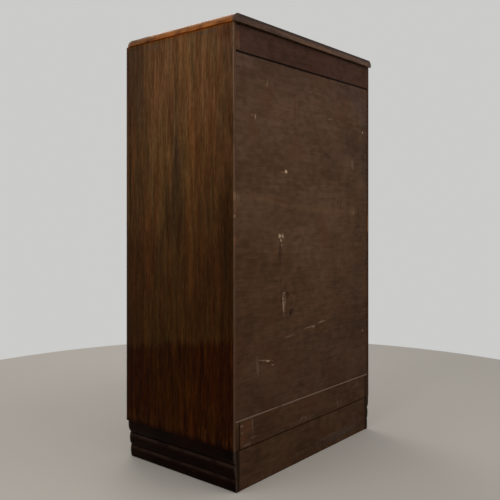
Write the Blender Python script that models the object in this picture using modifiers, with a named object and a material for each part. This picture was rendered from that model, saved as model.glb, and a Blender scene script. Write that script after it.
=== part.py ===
"""A walnut tallboy: a cupboard with two doors over three drawers, on a reeded plinth.

Metres, +Z up. The front faces -Y, the back +Y, and left and right are as seen from the front.
The origin is on the floor, at the middle of the box that holds the whole piece, knobs included.
"""

import math

import bmesh
import bpy
from mathutils import Matrix, Vector

for old in list(bpy.data.objects):
    bpy.data.objects.remove(old, do_unlink=True)

# Clearances
SEAT_GAP = 0.0003  # between two pieces that touch
CUT_OVERRUN = 0.002  # how far a cutter runs past the face that it opens
HINGE_GAP = 0.0015  # door edge to post
MEETING_GAP = 0.002  # between the two doors
DOOR_CLEARANCE = 0.0015  # over and under a door
DRAWER_SIDE_CLEARANCE = 0.0015
DRAWER_FRONT_LIFT = 0.001  # the front clears the rail, the sides run on it
DRAWER_TOP_CLEARANCE = 0.002
DRAWER_END_CLEARANCE = 0.001  # rear end of a drawer side to the back rail

# Case
CASE_WIDTH = 0.711
CASE_DEPTH = 0.450
CASE_HEIGHT = 1.138
SIDE_THICKNESS = 0.009
POST_WIDTH = 0.026
POST_DEPTH = 0.0925
POST_TONGUE = 0.012  # the part of a front post that the side panel laps
POST_RADIUS = 0.024
REAR_POST_WIDTH = 0.017
REAR_POST_DEPTH = 0.040
BOARD_THICKNESS = 0.020
RAIL_THICKNESS = 0.018
TOP_RAIL_HEIGHT = 0.022
TENON_LENGTH = 0.010
TENON_THICKNESS = 0.008
TENON_SHOULDER = 0.015  # in from the front and rear edges of a rail

# Back
UPPER_BACK_RAIL = 0.0735
LOWER_BACK_RAIL = 0.0785
BACK_RAIL_THICKNESS = 0.020
BACK_PANEL_THICKNESS = 0.005
BACK_PANEL_RECESS = 0.002
BACK_PANEL_LAP = 0.012  # the part of a back rail that the panel is nailed to

# Top
TOP_THICKNESS = 0.022
TOP_SIDE_OVERHANG = 0.005
TOP_FRONT_OVERHANG = 0.002
TOP_BACK_OVERHANG = 0.007
TOP_CORNER_RADIUS = 0.045
LIPPING_WIDTH = 0.019
LIPPING_ROUND_WIDTH = 0.017
LIPPING_FLAT = 0.0045  # height of the upright edge under the rounded part
LIPPING_UNDERCUT = 0.0015

# Plinth: three reeds, each set further in than the one above it
PLINTH_HEIGHT = 0.110
PLINTH_CORNER_RADIUS = 0.032
PLINTH_INNER_FACE = 0.024  # in from the case, as the recesses below are
UPPER_REED_RECESS = 0.0025
UPPER_REED_FLAT = 0.015
UPPER_REED_FOOT = 0.074
UPPER_GROOVE_RECESS = 0.0115
MIDDLE_REED_CROWN = 0.0065
MIDDLE_REED_FOOT = 0.036
LOWER_GROOVE_RECESS = 0.0125
LOWER_REED_CROWN = 0.0095
FLOOR_RECESS = 0.013
PLINTH_BACK_THICKNESS = 0.018
PLINTH_BACK_GAP = 0.003  # the shadow line over the plinth's back board
PLINTH_BACK_RECESS = 0.001

# Drawers, from the floor up
LOWER_OPENING = 0.186
MIDDLE_OPENING = 0.178
UPPER_OPENING = 0.170
DRAWER_FRONT_THICKNESS = 0.020
DRAWER_SIDE_THICKNESS = 0.011
DRAWER_SIDE_DROP = 0.006  # the sides stop this far under the opening's top
DRAWER_BACK_THICKNESS = 0.010
DRAWER_BACK_INSET = 0.012
DRAWER_BACK_DROP = 0.006
DRAWER_BOTTOM_THICKNESS = 0.004
DRAWER_BOTTOM_RISE = 0.008
GROOVE_DEPTH = 0.005
HOUSING_DEPTH = 0.004
LAP_THICKNESS = 0.006  # wood left in front of the dovetails
TAIL_PITCH = 0.036
TAIL_SLOPE = 1 / 6
PIN_NARROW_WIDTH = 0.006
RUNNER_LEDGE = 0.022  # how far a runner reaches in under the drawer

# Cupboard
DOOR_THICKNESS = 0.020
DOOR_STOP_DROP = 0.012
DOOR_STOP_WIDTH = 0.018
SHELF_THICKNESS = 0.016
SHELF_HEIGHT = 0.245  # over the cupboard floor, to the underside
SHELF_SETBACK = 0.115
BEARER_WIDTH = 0.016
BEARER_HEIGHT = 0.020

# Butt hinges
HINGE_HEIGHT = 0.060
HINGE_INSET = 0.080  # end of the door to the middle of the hinge
LEAF_WIDTH = 0.016
LEAF_THICKNESS = 0.0015
KNUCKLE_RADIUS = 0.003
KNUCKLE_CLEARANCE = 0.0004
HINGE_PIN_RADIUS = 0.0012
HINGE_BORE_RADIUS = 0.0015

# Knobs
KNOB_REACH = 0.026
KNOB_HEAD_RADIUS = 0.016
KNOB_HEAD_MIDDLE = 0.017  # out from the front, at the widest
KNOB_NECK_RADIUS = 0.0075
KNOB_NECK_MIDDLE = 0.008
KNOB_FOOT_RADIUS = 0.010
KNOB_FOOT_THICKNESS = 0.002
KNOB_SPIGOT_RADIUS = 0.005
KNOB_SPIGOT_LENGTH = 0.012
KNOB_SPACING = 0.360  # between the two knobs of a drawer
DOOR_KNOB_INSET = 0.036  # from the door's meeting edge

# Facets
EDGE_ROUND = 0.0008
CORNER_STEPS = 8
REED_STEPS = 6
TURNED_STEPS = 20
DOME_STEPS = 5
NECK_STEPS = 4
HINGE_STEPS = 16
WELD = 0.000002  # points this near are one

# Planes that the pieces share
HALF_WIDTH = CASE_WIDTH / 2
FRONT = (KNOB_REACH - TOP_BACK_OVERHANG - CASE_DEPTH) / 2
BACK = FRONT + CASE_DEPTH
POST_BACK = FRONT + POST_DEPTH + POST_TONGUE
REAR_POST_FRONT = BACK - REAR_POST_DEPTH
OPENING_HALF = HALF_WIDTH - POST_WIDTH
SIDE_INNER = HALF_WIDTH - SIDE_THICKNESS
LINING_HALF = SIDE_INNER - SEAT_GAP  # what stands against the side panels
REAR_POST_INNER = LINING_HALF - REAR_POST_WIDTH
PANEL_FACE = BACK - BACK_PANEL_RECESS
PANEL_SEAT = PANEL_FACE - BACK_PANEL_THICKNESS
CASE_BOTTOM = PLINTH_HEIGHT + SEAT_GAP
CASE_TOP = PLINTH_HEIGHT + CASE_HEIGHT
TOP_BOTTOM = CASE_TOP + SEAT_GAP
TOP_SURFACE = CASE_TOP + TOP_THICKNESS
LOWER_RAIL_EDGE = PLINTH_HEIGHT + LOWER_BACK_RAIL
UPPER_RAIL_EDGE = CASE_TOP - UPPER_BACK_RAIL
LOWER_FLOOR = PLINTH_HEIGHT + BOARD_THICKNESS
MIDDLE_FLOOR = LOWER_FLOOR + LOWER_OPENING + RAIL_THICKNESS
UPPER_FLOOR = MIDDLE_FLOOR + MIDDLE_OPENING + RAIL_THICKNESS
CUPBOARD_UNDERSIDE = UPPER_FLOOR + UPPER_OPENING
CUPBOARD_FLOOR = CUPBOARD_UNDERSIDE + BOARD_THICKNESS
DOOR_HEAD = CASE_TOP - TOP_RAIL_HEIGHT
DOOR_BACK = FRONT + DOOR_THICKNESS
DOOR_EDGE = OPENING_HALF - HINGE_GAP
DOOR_LOW = CUPBOARD_FLOOR + DOOR_CLEARANCE
DOOR_HIGH = DOOR_HEAD - DOOR_CLEARANCE
HINGE_X = OPENING_HALF - HINGE_GAP / 2
HINGE_FORWARD = KNUCKLE_RADIUS + KNUCKLE_CLEARANCE
HINGE_Y = FRONT - HINGE_FORWARD
SHELF_LOW = CUPBOARD_FLOOR + SHELF_HEIGHT
DRAWER_HALF = OPENING_HALF - DRAWER_SIDE_CLEARANCE
DRAWER_INNER = DRAWER_HALF - DRAWER_SIDE_THICKNESS
DRAWER_FRONT_BACK = FRONT + DRAWER_FRONT_THICKNESS
DRAWER_REAR = BACK - BACK_RAIL_THICKNESS - DRAWER_END_CLEARANCE

SIDES = (("left", -1), ("right", 1))
DRAWERS = (
    ("lower", LOWER_FLOOR, LOWER_OPENING),
    ("middle", MIDDLE_FLOOR, MIDDLE_OPENING),
    ("upper", UPPER_FLOOR, UPPER_OPENING),
)

# How an outline lies: its X and Y become these world axes, and its thickness the third
LIE_XY = (0, 0, 0)
LIE_YZ = (math.pi / 2, 0, math.pi / 2)


def new_collection(name):
    made = bpy.data.collections.new(name)
    bpy.context.scene.collection.children.link(made)
    return made


PARTS = new_collection("tallboy")
CUTTERS = new_collection("tallboy_cutters")


def new_material(name, colour, roughness, metallic=0.0):
    made = bpy.data.materials.new(name)
    made.use_nodes = True
    shader = made.node_tree.nodes["Principled BSDF"]
    shader.inputs["Base Color"].default_value = (*colour, 1)
    shader.inputs["Roughness"].default_value = roughness
    shader.inputs["Metallic"].default_value = metallic
    return made


WALNUT = new_material("walnut_veneer", (0.105, 0.045, 0.022), 0.38)
LIPPING = new_material("walnut_lipping", (0.250, 0.085, 0.028), 0.35)
EBONISED = new_material("ebonised_wood", (0.014, 0.010, 0.009), 0.30)
STAINED = new_material("stained_back", (0.060, 0.036, 0.025), 0.60)
BEECH = new_material("beech", (0.420, 0.265, 0.140), 0.60)
PLYWOOD = new_material("plywood", (0.480, 0.330, 0.190), 0.65)
BRASS = new_material("brass", (0.560, 0.390, 0.150), 0.35, 1.0)


def new_empty(name, place):
    made = bpy.data.objects.new(name, None)
    made.location = place
    PARTS.objects.link(made)
    return made


CASE = new_empty("case_frame", (0, 0, 0))


def as_part(obj, finish, parent=CASE):
    """Puts a shape among the parts, with its finish, on the empty that carries it."""
    PARTS.objects.link(obj)
    obj.parent = parent
    obj.location -= parent.location
    if not obj.data.materials:
        obj.data.materials.append(finish)
    return obj


def as_cutter(obj):
    CUTTERS.objects.link(obj)
    obj.hide_render = True
    obj.display_type = "WIRE"
    return obj


def combine(target, other, operation):
    step = target.modifiers.new(other.name, "BOOLEAN")
    step.operation = operation
    step.object = other
    step.solver = "EXACT"


def cut(target, other):
    combine(target, other, "DIFFERENCE")


def join(target, other):
    combine(target, other, "UNION")


def soften(obj):
    """Takes the sharpness off the edges of a plain board."""
    step = obj.modifiers.new("softened_edges", "BEVEL")
    step.width = EDGE_ROUND
    step.segments = 1
    step.limit_method = "ANGLE"


def tidy_mesh(mesh):
    """Welds what a shape left loose and turns its faces outwards."""
    shape = bmesh.new()
    shape.from_mesh(mesh)
    bmesh.ops.remove_doubles(shape, verts=shape.verts, dist=WELD)
    bmesh.ops.recalc_face_normals(shape, faces=shape.faces)
    shape.to_mesh(mesh)
    shape.free()


def evaluated_mesh(obj):
    graph = bpy.context.evaluated_depsgraph_get()
    mesh = bpy.data.meshes.new_from_object(obj.evaluated_get(graph))
    tidy_mesh(mesh)
    return mesh


def box(name, low, high):
    """A board from its lowest to its highest corner, with its origin at its middle."""
    low, high = Vector(low), Vector(high)
    shape = bmesh.new()
    bmesh.ops.create_cube(shape, size=1)
    bmesh.ops.scale(shape, vec=high - low, verts=shape.verts)
    mesh = bpy.data.meshes.new(name)
    shape.to_mesh(mesh)
    shape.free()
    obj = bpy.data.objects.new(name, mesh)
    obj.location = (low + high) / 2
    return obj


def side_box(name, side, low, high):
    """A box given for the right-hand side, put on either side of the middle."""
    xs = sorted((side * low[0], side * high[0]))
    return box(name, (xs[0], *low[1:]), (xs[1], *high[1:]))


def outline(name, points, start, end, lie):
    """A flat outline, filled, and as thick as it is from start to end."""
    curve = bpy.data.curves.new(name, "CURVE")
    curve.dimensions = "2D"
    curve.fill_mode = "BOTH"
    curve.extrude = (end - start) / 2
    spline = curve.splines.new("POLY")
    spline.points.add(len(points) - 1)
    for point, (across, up) in zip(spline.points, points):
        point.co = (across, up, 0, 1)
    spline.use_cyclic_u = True
    guide = bpy.data.objects.new(name, curve)
    CUTTERS.objects.link(guide)
    mesh = evaluated_mesh(guide)
    bpy.data.objects.remove(guide)
    bpy.data.curves.remove(curve)
    obj = bpy.data.objects.new(name, mesh)
    obj.rotation_euler = lie
    middle = (start + end) / 2
    obj.location = (0, 0, middle) if lie == LIE_XY else (middle, 0, 0)
    return obj


def cylinder(name, radius, steps, place, length, turn=(0, 0, 0)):
    shape = bmesh.new()
    bmesh.ops.create_cone(
        shape, cap_ends=True, segments=steps, radius1=radius, radius2=radius, depth=length
    )
    mesh = bpy.data.meshes.new(name)
    shape.to_mesh(mesh)
    shape.free()
    obj = bpy.data.objects.new(name, mesh)
    obj.location = place
    obj.rotation_euler = turn
    return obj


def arc(centre, radii, start, end, steps):
    """Points on an ellipse's arc, angles in degrees from +X."""
    angles = (math.radians(start + (end - start) * k / steps) for k in range(steps + 1))
    return [(centre[0] + radii[0] * math.cos(a), centre[1] + radii[1] * math.sin(a)) for a in angles]


def bulge(low, crown, high, steps):
    """A reed's round from its lower groove over its crown to its upper groove, as (recess, z)."""
    middle = (low[1] + high[1]) / 2
    reach = (high[1] - low[1]) / 2
    lower = arc((low[0], middle), (crown - low[0], reach), -90, 0, steps // 2)
    upper = arc((high[0], middle), (crown - high[0], reach), 0, 90, steps // 2)
    return lower + upper[1:]


def swept_moulding(name, profile, side, start_y, front_y, outer_x, radius, all_round):
    """A moulding that runs forward along one side and turns the front corner.

    The profile is a ring of (recess, z) points. Where all_round is set, the moulding goes on along
    the front, turns the other corner and runs back along the other side.
    """
    shape = bmesh.new()
    ring = [shape.verts.new((outer_x - recess, start_y, z)) for recess, z in profile]
    last = [shape.edges.new((a, b)) for a, b in zip(ring, ring[1:] + ring[:1])]
    ends = list(last)

    def run(edges, move):
        made = bmesh.ops.extrude_edge_only(shape, edges=edges)["geom"]
        moved = [v for v in made if isinstance(v, bmesh.types.BMVert)]
        bmesh.ops.translate(shape, verts=moved, vec=move)
        return [e for e in made if isinstance(e, bmesh.types.BMEdge) and set(e.verts) <= set(moved)]

    def turn(edges, centre):
        made = bmesh.ops.spin(
            shape, geom=edges, cent=centre, axis=(0, 0, -1), angle=math.pi / 2, steps=CORNER_STEPS
        )["geom_last"]
        return [e for e in made if isinstance(e, bmesh.types.BMEdge)]

    centre_x, centre_y = outer_x - radius, front_y + radius
    last = run(last, (0, centre_y - start_y, 0))
    last = turn(last, (centre_x, centre_y, 0))
    if all_round:
        last = run(last, (-2 * centre_x, 0, 0))
        last = turn(last, (-centre_x, centre_y, 0))
        last = run(last, (0, start_y - centre_y, 0))
    for edges in (ends, last):
        bmesh.ops.contextual_create(shape, geom=edges)
    if side < 0:
        bmesh.ops.scale(shape, vec=(-1, 1, 1), verts=shape.verts)
    mesh = bpy.data.meshes.new(name)
    shape.to_mesh(mesh)
    shape.free()
    tidy_mesh(mesh)
    return bpy.data.objects.new(name, mesh)


def plinth_profile():
    """The reeded section from the floor up the outside, then down the inner face, as (recess, z)."""
    lower = bulge(
        (FLOOR_RECESS, 0), LOWER_REED_CROWN, (LOWER_GROOVE_RECESS, MIDDLE_REED_FOOT), REED_STEPS
    )
    middle = bulge(
        (LOWER_GROOVE_RECESS, MIDDLE_REED_FOOT),
        MIDDLE_REED_CROWN,
        (UPPER_GROOVE_RECESS, UPPER_REED_FOOT),
        REED_STEPS,
    )
    flat_foot = PLINTH_HEIGHT - UPPER_REED_FLAT
    upper = arc(
        (UPPER_GROOVE_RECESS, flat_foot),
        (UPPER_REED_RECESS - UPPER_GROOVE_RECESS, flat_foot - UPPER_REED_FOOT),
        -90,
        0,
        REED_STEPS // 2,
    )
    inside = [(PLINTH_INNER_FACE, PLINTH_HEIGHT), (PLINTH_INNER_FACE, 0)]
    return lower + middle[1:] + upper[1:] + [(UPPER_REED_RECESS, PLINTH_HEIGHT)] + inside


def build_plinth():
    profile = plinth_profile()
    for word, side in SIDES:
        piece = swept_moulding(
            f"plinth_{word}", profile, side, BACK, FRONT, HALF_WIDTH, PLINTH_CORNER_RADIUS, False
        )
        as_part(piece, EBONISED)
    facing = [(FRONT + recess, z) for recess, z in profile]
    front_half = HALF_WIDTH - PLINTH_CORNER_RADIUS - SEAT_GAP
    as_part(outline("plinth_front", facing, -front_half, front_half, LIE_YZ), EBONISED)
    back_half = HALF_WIDTH - PLINTH_INNER_FACE - SEAT_GAP
    face = BACK - PLINTH_BACK_RECESS
    low = (-back_half, face - PLINTH_BACK_THICKNESS, 0)
    as_part(box("plinth_back", low, (back_half, face, PLINTH_HEIGHT - PLINTH_BACK_GAP)), STAINED)


def tenon_bar(name, middle_z, grow):
    """A bar that gives a rail its two tenons or, grown by the seat gap, cuts their mortises."""
    half = OPENING_HALF + TENON_LENGTH + grow
    up = TENON_THICKNESS / 2 + grow
    low = (-half, FRONT + TENON_SHOULDER - grow, middle_z - up)
    high = (half, POST_BACK - TENON_SHOULDER + grow, middle_z + up)
    return as_cutter(box(name, low, high))


def build_posts_and_rails():
    """The upright posts, the side panels between them, and the rails across the front."""
    posts = []
    for word, side in SIDES:
        section = [(OPENING_HALF, FRONT)]
        corner = (HALF_WIDTH - POST_RADIUS, FRONT + POST_RADIUS)
        section += arc(corner, (POST_RADIUS, POST_RADIUS), -90, 0, CORNER_STEPS)
        section += [
            (HALF_WIDTH, FRONT + POST_DEPTH),
            (LINING_HALF, FRONT + POST_DEPTH),
            (LINING_HALF, POST_BACK),
            (OPENING_HALF, POST_BACK),
        ]
        mirrored = [(side * x, y) for x, y in section]
        post = outline(f"front_post_{word}", mirrored, CASE_BOTTOM, CASE_TOP, LIE_XY)
        posts.append(as_part(post, WALNUT))

        low = (SIDE_INNER, FRONT + POST_DEPTH + SEAT_GAP, CASE_BOTTOM)
        as_part(side_box(f"side_panel_{word}", side, low, (HALF_WIDTH, BACK, CASE_TOP)), WALNUT)

        seat = PANEL_SEAT - SEAT_GAP
        section = [
            (REAR_POST_FRONT, CASE_BOTTOM),
            (BACK, CASE_BOTTOM),
            (BACK, LOWER_RAIL_EDGE),
            (seat, LOWER_RAIL_EDGE),
            (seat, UPPER_RAIL_EDGE),
            (BACK, UPPER_RAIL_EDGE),
            (BACK, CASE_TOP),
            (REAR_POST_FRONT, CASE_TOP),
        ]
        inner, outer = sorted((side * REAR_POST_INNER, side * LINING_HALF))
        as_part(outline(f"rear_post_{word}", section, inner, outer, LIE_YZ), STAINED)

    rail_half = OPENING_HALF - SEAT_GAP
    rails = []
    for word, floor in (("lower", MIDDLE_FLOOR), ("upper", UPPER_FLOOR)):
        low = (-rail_half, FRONT, floor - RAIL_THICKNESS)
        rail = box(f"drawer_rail_{word}", low, (rail_half, POST_BACK, floor))
        rails.append((as_part(rail, WALNUT), floor - RAIL_THICKNESS / 2))

    middle_z = DOOR_HEAD + TOP_RAIL_HEIGHT / 2
    low = (-rail_half, FRONT, DOOR_HEAD)
    rail = as_part(box("top_front_rail", low, (rail_half, POST_BACK, CASE_TOP)), WALNUT)
    stop_half = rail_half - DOOR_STOP_WIDTH
    stop_front = DOOR_BACK + SEAT_GAP
    low = (-stop_half, stop_front, DOOR_HEAD - DOOR_STOP_DROP)
    join(rail, as_cutter(box("door_stop", low, (stop_half, stop_front + DOOR_STOP_WIDTH, middle_z))))
    rails.append((rail, middle_z))

    for rail, middle_z in rails:
        join(rail, tenon_bar(f"{rail.name}_tenons", middle_z, 0))
        mortises = tenon_bar(f"{rail.name}_mortises", middle_z, SEAT_GAP)
        for post in posts:
            cut(post, mortises)
    return posts


def board_outline(front_y, rear_y):
    """A board across the case, notched round the posts that it reaches, as (x, y) points."""
    edge = []
    if front_y < POST_BACK:
        edge += [(OPENING_HALF - SEAT_GAP, front_y), (OPENING_HALF - SEAT_GAP, POST_BACK + SEAT_GAP)]
    notch = REAR_POST_INNER - SEAT_GAP
    edge += [
        (LINING_HALF, max(front_y, POST_BACK + SEAT_GAP)),
        (LINING_HALF, REAR_POST_FRONT - SEAT_GAP),
        (notch, REAR_POST_FRONT - SEAT_GAP),
        (notch, rear_y),
    ]
    return edge + [(-x, y) for x, y in reversed(edge)]


def build_boards():
    """The boards across the case, the runners of the upper two drawers, and the shelf."""
    rail_face = BACK - BACK_RAIL_THICKNESS - SEAT_GAP
    panel_face = PANEL_SEAT - SEAT_GAP
    points = board_outline(FRONT, rail_face)
    as_part(outline("bottom_board", points, CASE_BOTTOM, LOWER_FLOOR, LIE_XY), BEECH)
    points = board_outline(FRONT, panel_face)
    as_part(outline("cupboard_floor", points, CUPBOARD_UNDERSIDE, CUPBOARD_FLOOR, LIE_XY), WALNUT)
    points = board_outline(FRONT + SHELF_SETBACK, panel_face)
    as_part(outline("shelf", points, SHELF_LOW, SHELF_LOW + SHELF_THICKNESS, LIE_XY), BEECH)

    start_y, end_y = POST_BACK + SEAT_GAP, REAR_POST_FRONT - SEAT_GAP
    for word, side in SIDES:
        for level, floor in (("lower", MIDDLE_FLOOR), ("upper", UPPER_FLOOR)):
            low = (OPENING_HALF - RUNNER_LEDGE, start_y, floor - RAIL_THICKNESS)
            runner = side_box(f"drawer_runner_{level}_{word}", side, low, (LINING_HALF, end_y, floor))
            as_part(runner, BEECH)
        top = SHELF_LOW - SEAT_GAP
        low = (LINING_HALF - BEARER_WIDTH, start_y, top - BEARER_HEIGHT)
        as_part(side_box(f"shelf_bearer_{word}", side, low, (LINING_HALF, end_y, top)), BEECH)


def build_back():
    """Two rails between the rear posts, and a thin panel let in between them."""
    half = REAR_POST_INNER - SEAT_GAP
    inner = BACK - BACK_RAIL_THICKNESS
    seat = PANEL_SEAT - SEAT_GAP
    for word, edge, end, lap in (
        ("upper", UPPER_RAIL_EDGE, CASE_TOP, -BACK_PANEL_LAP),
        ("lower", LOWER_RAIL_EDGE, CASE_BOTTOM, BACK_PANEL_LAP),
    ):
        section = [
            (BACK, end),
            (BACK, edge),
            (seat, edge),
            (seat, edge + lap),
            (inner, edge + lap),
            (inner, end),
        ]
        as_part(outline(f"back_rail_{word}", section, -half, half, LIE_YZ), STAINED)
    low = (-LINING_HALF, PANEL_SEAT, LOWER_RAIL_EDGE + SEAT_GAP)
    high = (LINING_HALF, PANEL_FACE, UPPER_RAIL_EDGE - SEAT_GAP)
    as_part(box("back_panel", low, high), STAINED)


def build_top():
    """A board with a moulded lipping round its sides and front."""
    outer_x = HALF_WIDTH + TOP_SIDE_OVERHANG
    front_y = FRONT - TOP_FRONT_OVERHANG
    rear_y = BACK + TOP_BACK_OVERHANG
    flat_top = TOP_BOTTOM + LIPPING_FLAT
    profile = [
        (LIPPING_WIDTH, TOP_BOTTOM),
        (LIPPING_UNDERCUT, TOP_BOTTOM),
        (0, TOP_BOTTOM + LIPPING_UNDERCUT),
    ]
    profile += arc(
        (LIPPING_ROUND_WIDTH, flat_top),
        (LIPPING_ROUND_WIDTH, TOP_SURFACE - flat_top),
        180,
        90,
        CORNER_STEPS,
    )
    profile += [(LIPPING_WIDTH, TOP_SURFACE)]
    lipping = swept_moulding(
        "top_lipping", profile, 1, rear_y, front_y, outer_x, TOP_CORNER_RADIUS, True
    )
    as_part(lipping, LIPPING)

    inset = LIPPING_WIDTH + SEAT_GAP
    radius = TOP_CORNER_RADIUS - inset
    half, front_edge = outer_x - inset, front_y + inset
    corner = arc((half - radius, front_edge + radius), (radius, radius), -90, 0, CORNER_STEPS)
    edge = corner + [(half, rear_y)]
    points = edge + [(-x, y) for x, y in reversed(edge)]
    as_part(outline("top_board", points, TOP_BOTTOM, TOP_SURFACE, LIE_XY), WALNUT)


def knob_mesh():
    """A turned knob with its spigot, standing on +Z, as a profile turned round the axis."""
    head_rise = KNOB_REACH - KNOB_HEAD_MIDDLE
    neck_drop = KNOB_HEAD_MIDDLE - KNOB_NECK_MIDDLE
    dome = arc((0, KNOB_HEAD_MIDDLE), (KNOB_HEAD_RADIUS, head_rise), 90, 0, DOME_STEPS)
    under_radii = (KNOB_HEAD_RADIUS - KNOB_NECK_RADIUS, neck_drop)
    under = arc((KNOB_NECK_RADIUS, KNOB_HEAD_MIDDLE), under_radii, 0, -90, NECK_STEPS)
    profile = [(0, KNOB_REACH)] + dome[1:] + under[1:]
    profile += [
        (KNOB_FOOT_RADIUS, KNOB_FOOT_THICKNESS),
        (KNOB_FOOT_RADIUS, SEAT_GAP),
        (KNOB_SPIGOT_RADIUS, SEAT_GAP),
        (KNOB_SPIGOT_RADIUS, -KNOB_SPIGOT_LENGTH),
        (0, -KNOB_SPIGOT_LENGTH),
    ]
    mesh = bpy.data.meshes.new("knob_profile")
    edges = [(k, k + 1) for k in range(len(profile) - 1)]
    mesh.from_pydata([(r, 0, z) for r, z in profile], edges, [])
    turned = bpy.data.objects.new("knob_profile", mesh)
    CUTTERS.objects.link(turned)
    step = turned.modifiers.new("turned", "SCREW")
    step.axis = "Z"
    step.steps = step.render_steps = TURNED_STEPS
    step.use_merge_vertices = True
    step.merge_threshold = WELD
    made = evaluated_mesh(turned)
    bpy.data.objects.remove(turned)
    made.shade_smooth()
    made.set_sharp_from_angle(angle=math.radians(40))
    return made


KNOB = knob_mesh()


def add_knob(name, x, z, parent, front):
    """Sets a knob's spigot in a hole bored in the front that carries it."""
    knob = bpy.data.objects.new(name, KNOB)
    knob.location = (x, FRONT, z)
    knob.rotation_euler = (math.pi / 2, 0, 0)
    as_part(knob, WALNUT, parent)
    depth = KNOB_SPIGOT_LENGTH + SEAT_GAP
    middle = (x, FRONT + (depth - CUT_OVERRUN) / 2, z)
    radius = KNOB_SPIGOT_RADIUS + SEAT_GAP
    hole = cylinder(
        f"{name}_hole", radius, TURNED_STEPS, middle, depth + CUT_OVERRUN, (math.pi / 2, 0, 0)
    )
    cut(front, as_cutter(hole))


def tail_edge(low, high, end_y, root_y, grow):
    """The dovetailed end of a drawer side from bottom to top, as (y, z) points."""
    count = max(2, round((high - low) / TAIL_PITCH))
    pitch = (high - low) / count
    wide = (pitch - PIN_NARROW_WIDTH) / 2 + grow
    narrow = wide - (root_y - end_y) * TAIL_SLOPE
    points = []
    for k in range(count):
        middle = low + pitch * (k + 0.5)
        points += [(root_y, middle - narrow), (end_y, middle - wide)]
        points += [(end_y, middle + wide), (root_y, middle + narrow)]
    return points


def build_drawer(word, floor, opening):
    """A drawer with lapped dovetails at the front and its bottom let into grooves."""
    slide = new_empty(f"drawer_{word}_slide", (0, FRONT, floor))
    low, high = floor + SEAT_GAP, floor + opening - DRAWER_SIDE_DROP
    socket_end = FRONT + LAP_THICKNESS
    bottom_low = low + DRAWER_BOTTOM_RISE
    bottom_high = bottom_low + DRAWER_BOTTOM_THICKNESS
    back_rear = DRAWER_REAR - DRAWER_BACK_INSET
    back_front = back_rear - DRAWER_BACK_THICKNESS
    groove_half = DRAWER_INNER + GROOVE_DEPTH
    groove_low, groove_high = bottom_low - SEAT_GAP, bottom_high + SEAT_GAP

    front_low = (-DRAWER_HALF, FRONT, floor + DRAWER_FRONT_LIFT)
    front_high = (DRAWER_HALF, DRAWER_FRONT_BACK, floor + opening - DRAWER_TOP_CLEARANCE)
    front = as_part(box(f"drawer_{word}_front", front_low, front_high), WALNUT, slide)
    soften(front)
    groove = box(
        f"drawer_{word}_front_groove",
        (-groove_half, DRAWER_FRONT_BACK - GROOVE_DEPTH, groove_low),
        (groove_half, DRAWER_FRONT_BACK + CUT_OVERRUN, groove_high),
    )
    cut(front, as_cutter(groove))

    for hand, side in SIDES:
        name = f"drawer_{word}_side_{hand}"
        shoulder = DRAWER_FRONT_BACK + SEAT_GAP
        points = [(DRAWER_REAR, low), (shoulder, low)]
        points += tail_edge(low, high, socket_end + SEAT_GAP, shoulder, 0)
        points += [(shoulder, high), (DRAWER_REAR, high)]
        inner, outer = sorted((side * DRAWER_INNER, side * DRAWER_HALF))
        board = as_part(outline(name, points, inner, outer, LIE_YZ), BEECH, slide)
        groove = side_box(
            f"{name}_groove",
            side,
            (DRAWER_INNER - CUT_OVERRUN, FRONT, groove_low),
            (groove_half, DRAWER_REAR + CUT_OVERRUN, groove_high),
        )
        cut(board, as_cutter(groove))
        housing = side_box(
            f"{name}_housing",
            side,
            (DRAWER_INNER - CUT_OVERRUN, back_front - SEAT_GAP, (groove_low + groove_high) / 2),
            (DRAWER_INNER + HOUSING_DEPTH, back_rear + SEAT_GAP, high + CUT_OVERRUN),
        )
        cut(board, as_cutter(housing))

        behind = DRAWER_FRONT_BACK + CUT_OVERRUN
        points = [(behind + CUT_OVERRUN, low), (behind, low)]
        points += tail_edge(low, high, socket_end, behind, SEAT_GAP)
        points += [(behind, high), (behind + CUT_OVERRUN, high)]
        ends = (side * (DRAWER_INNER - SEAT_GAP), side * (DRAWER_HALF + CUT_OVERRUN))
        inner, outer = sorted(ends)
        cut(front, as_cutter(outline(f"{name}_sockets", points, inner, outer, LIE_YZ)))
        add_knob(
            f"drawer_{word}_knob_{hand}", side * KNOB_SPACING / 2, floor + opening / 2, slide, front
        )

    half = DRAWER_INNER + HOUSING_DEPTH - SEAT_GAP
    back_low = (-half, back_front, bottom_high + SEAT_GAP)
    back = box(f"drawer_{word}_back", back_low, (half, back_rear, high - DRAWER_BACK_DROP))
    as_part(back, BEECH, slide)
    half = groove_half - SEAT_GAP
    bottom_start = DRAWER_FRONT_BACK - GROOVE_DEPTH + SEAT_GAP
    bottom_corner = (-half, bottom_start, bottom_low)
    bottom = box(f"drawer_{word}_bottom", bottom_corner, (half, back_rear, bottom_high))
    as_part(bottom, PLYWOOD, slide)


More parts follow.
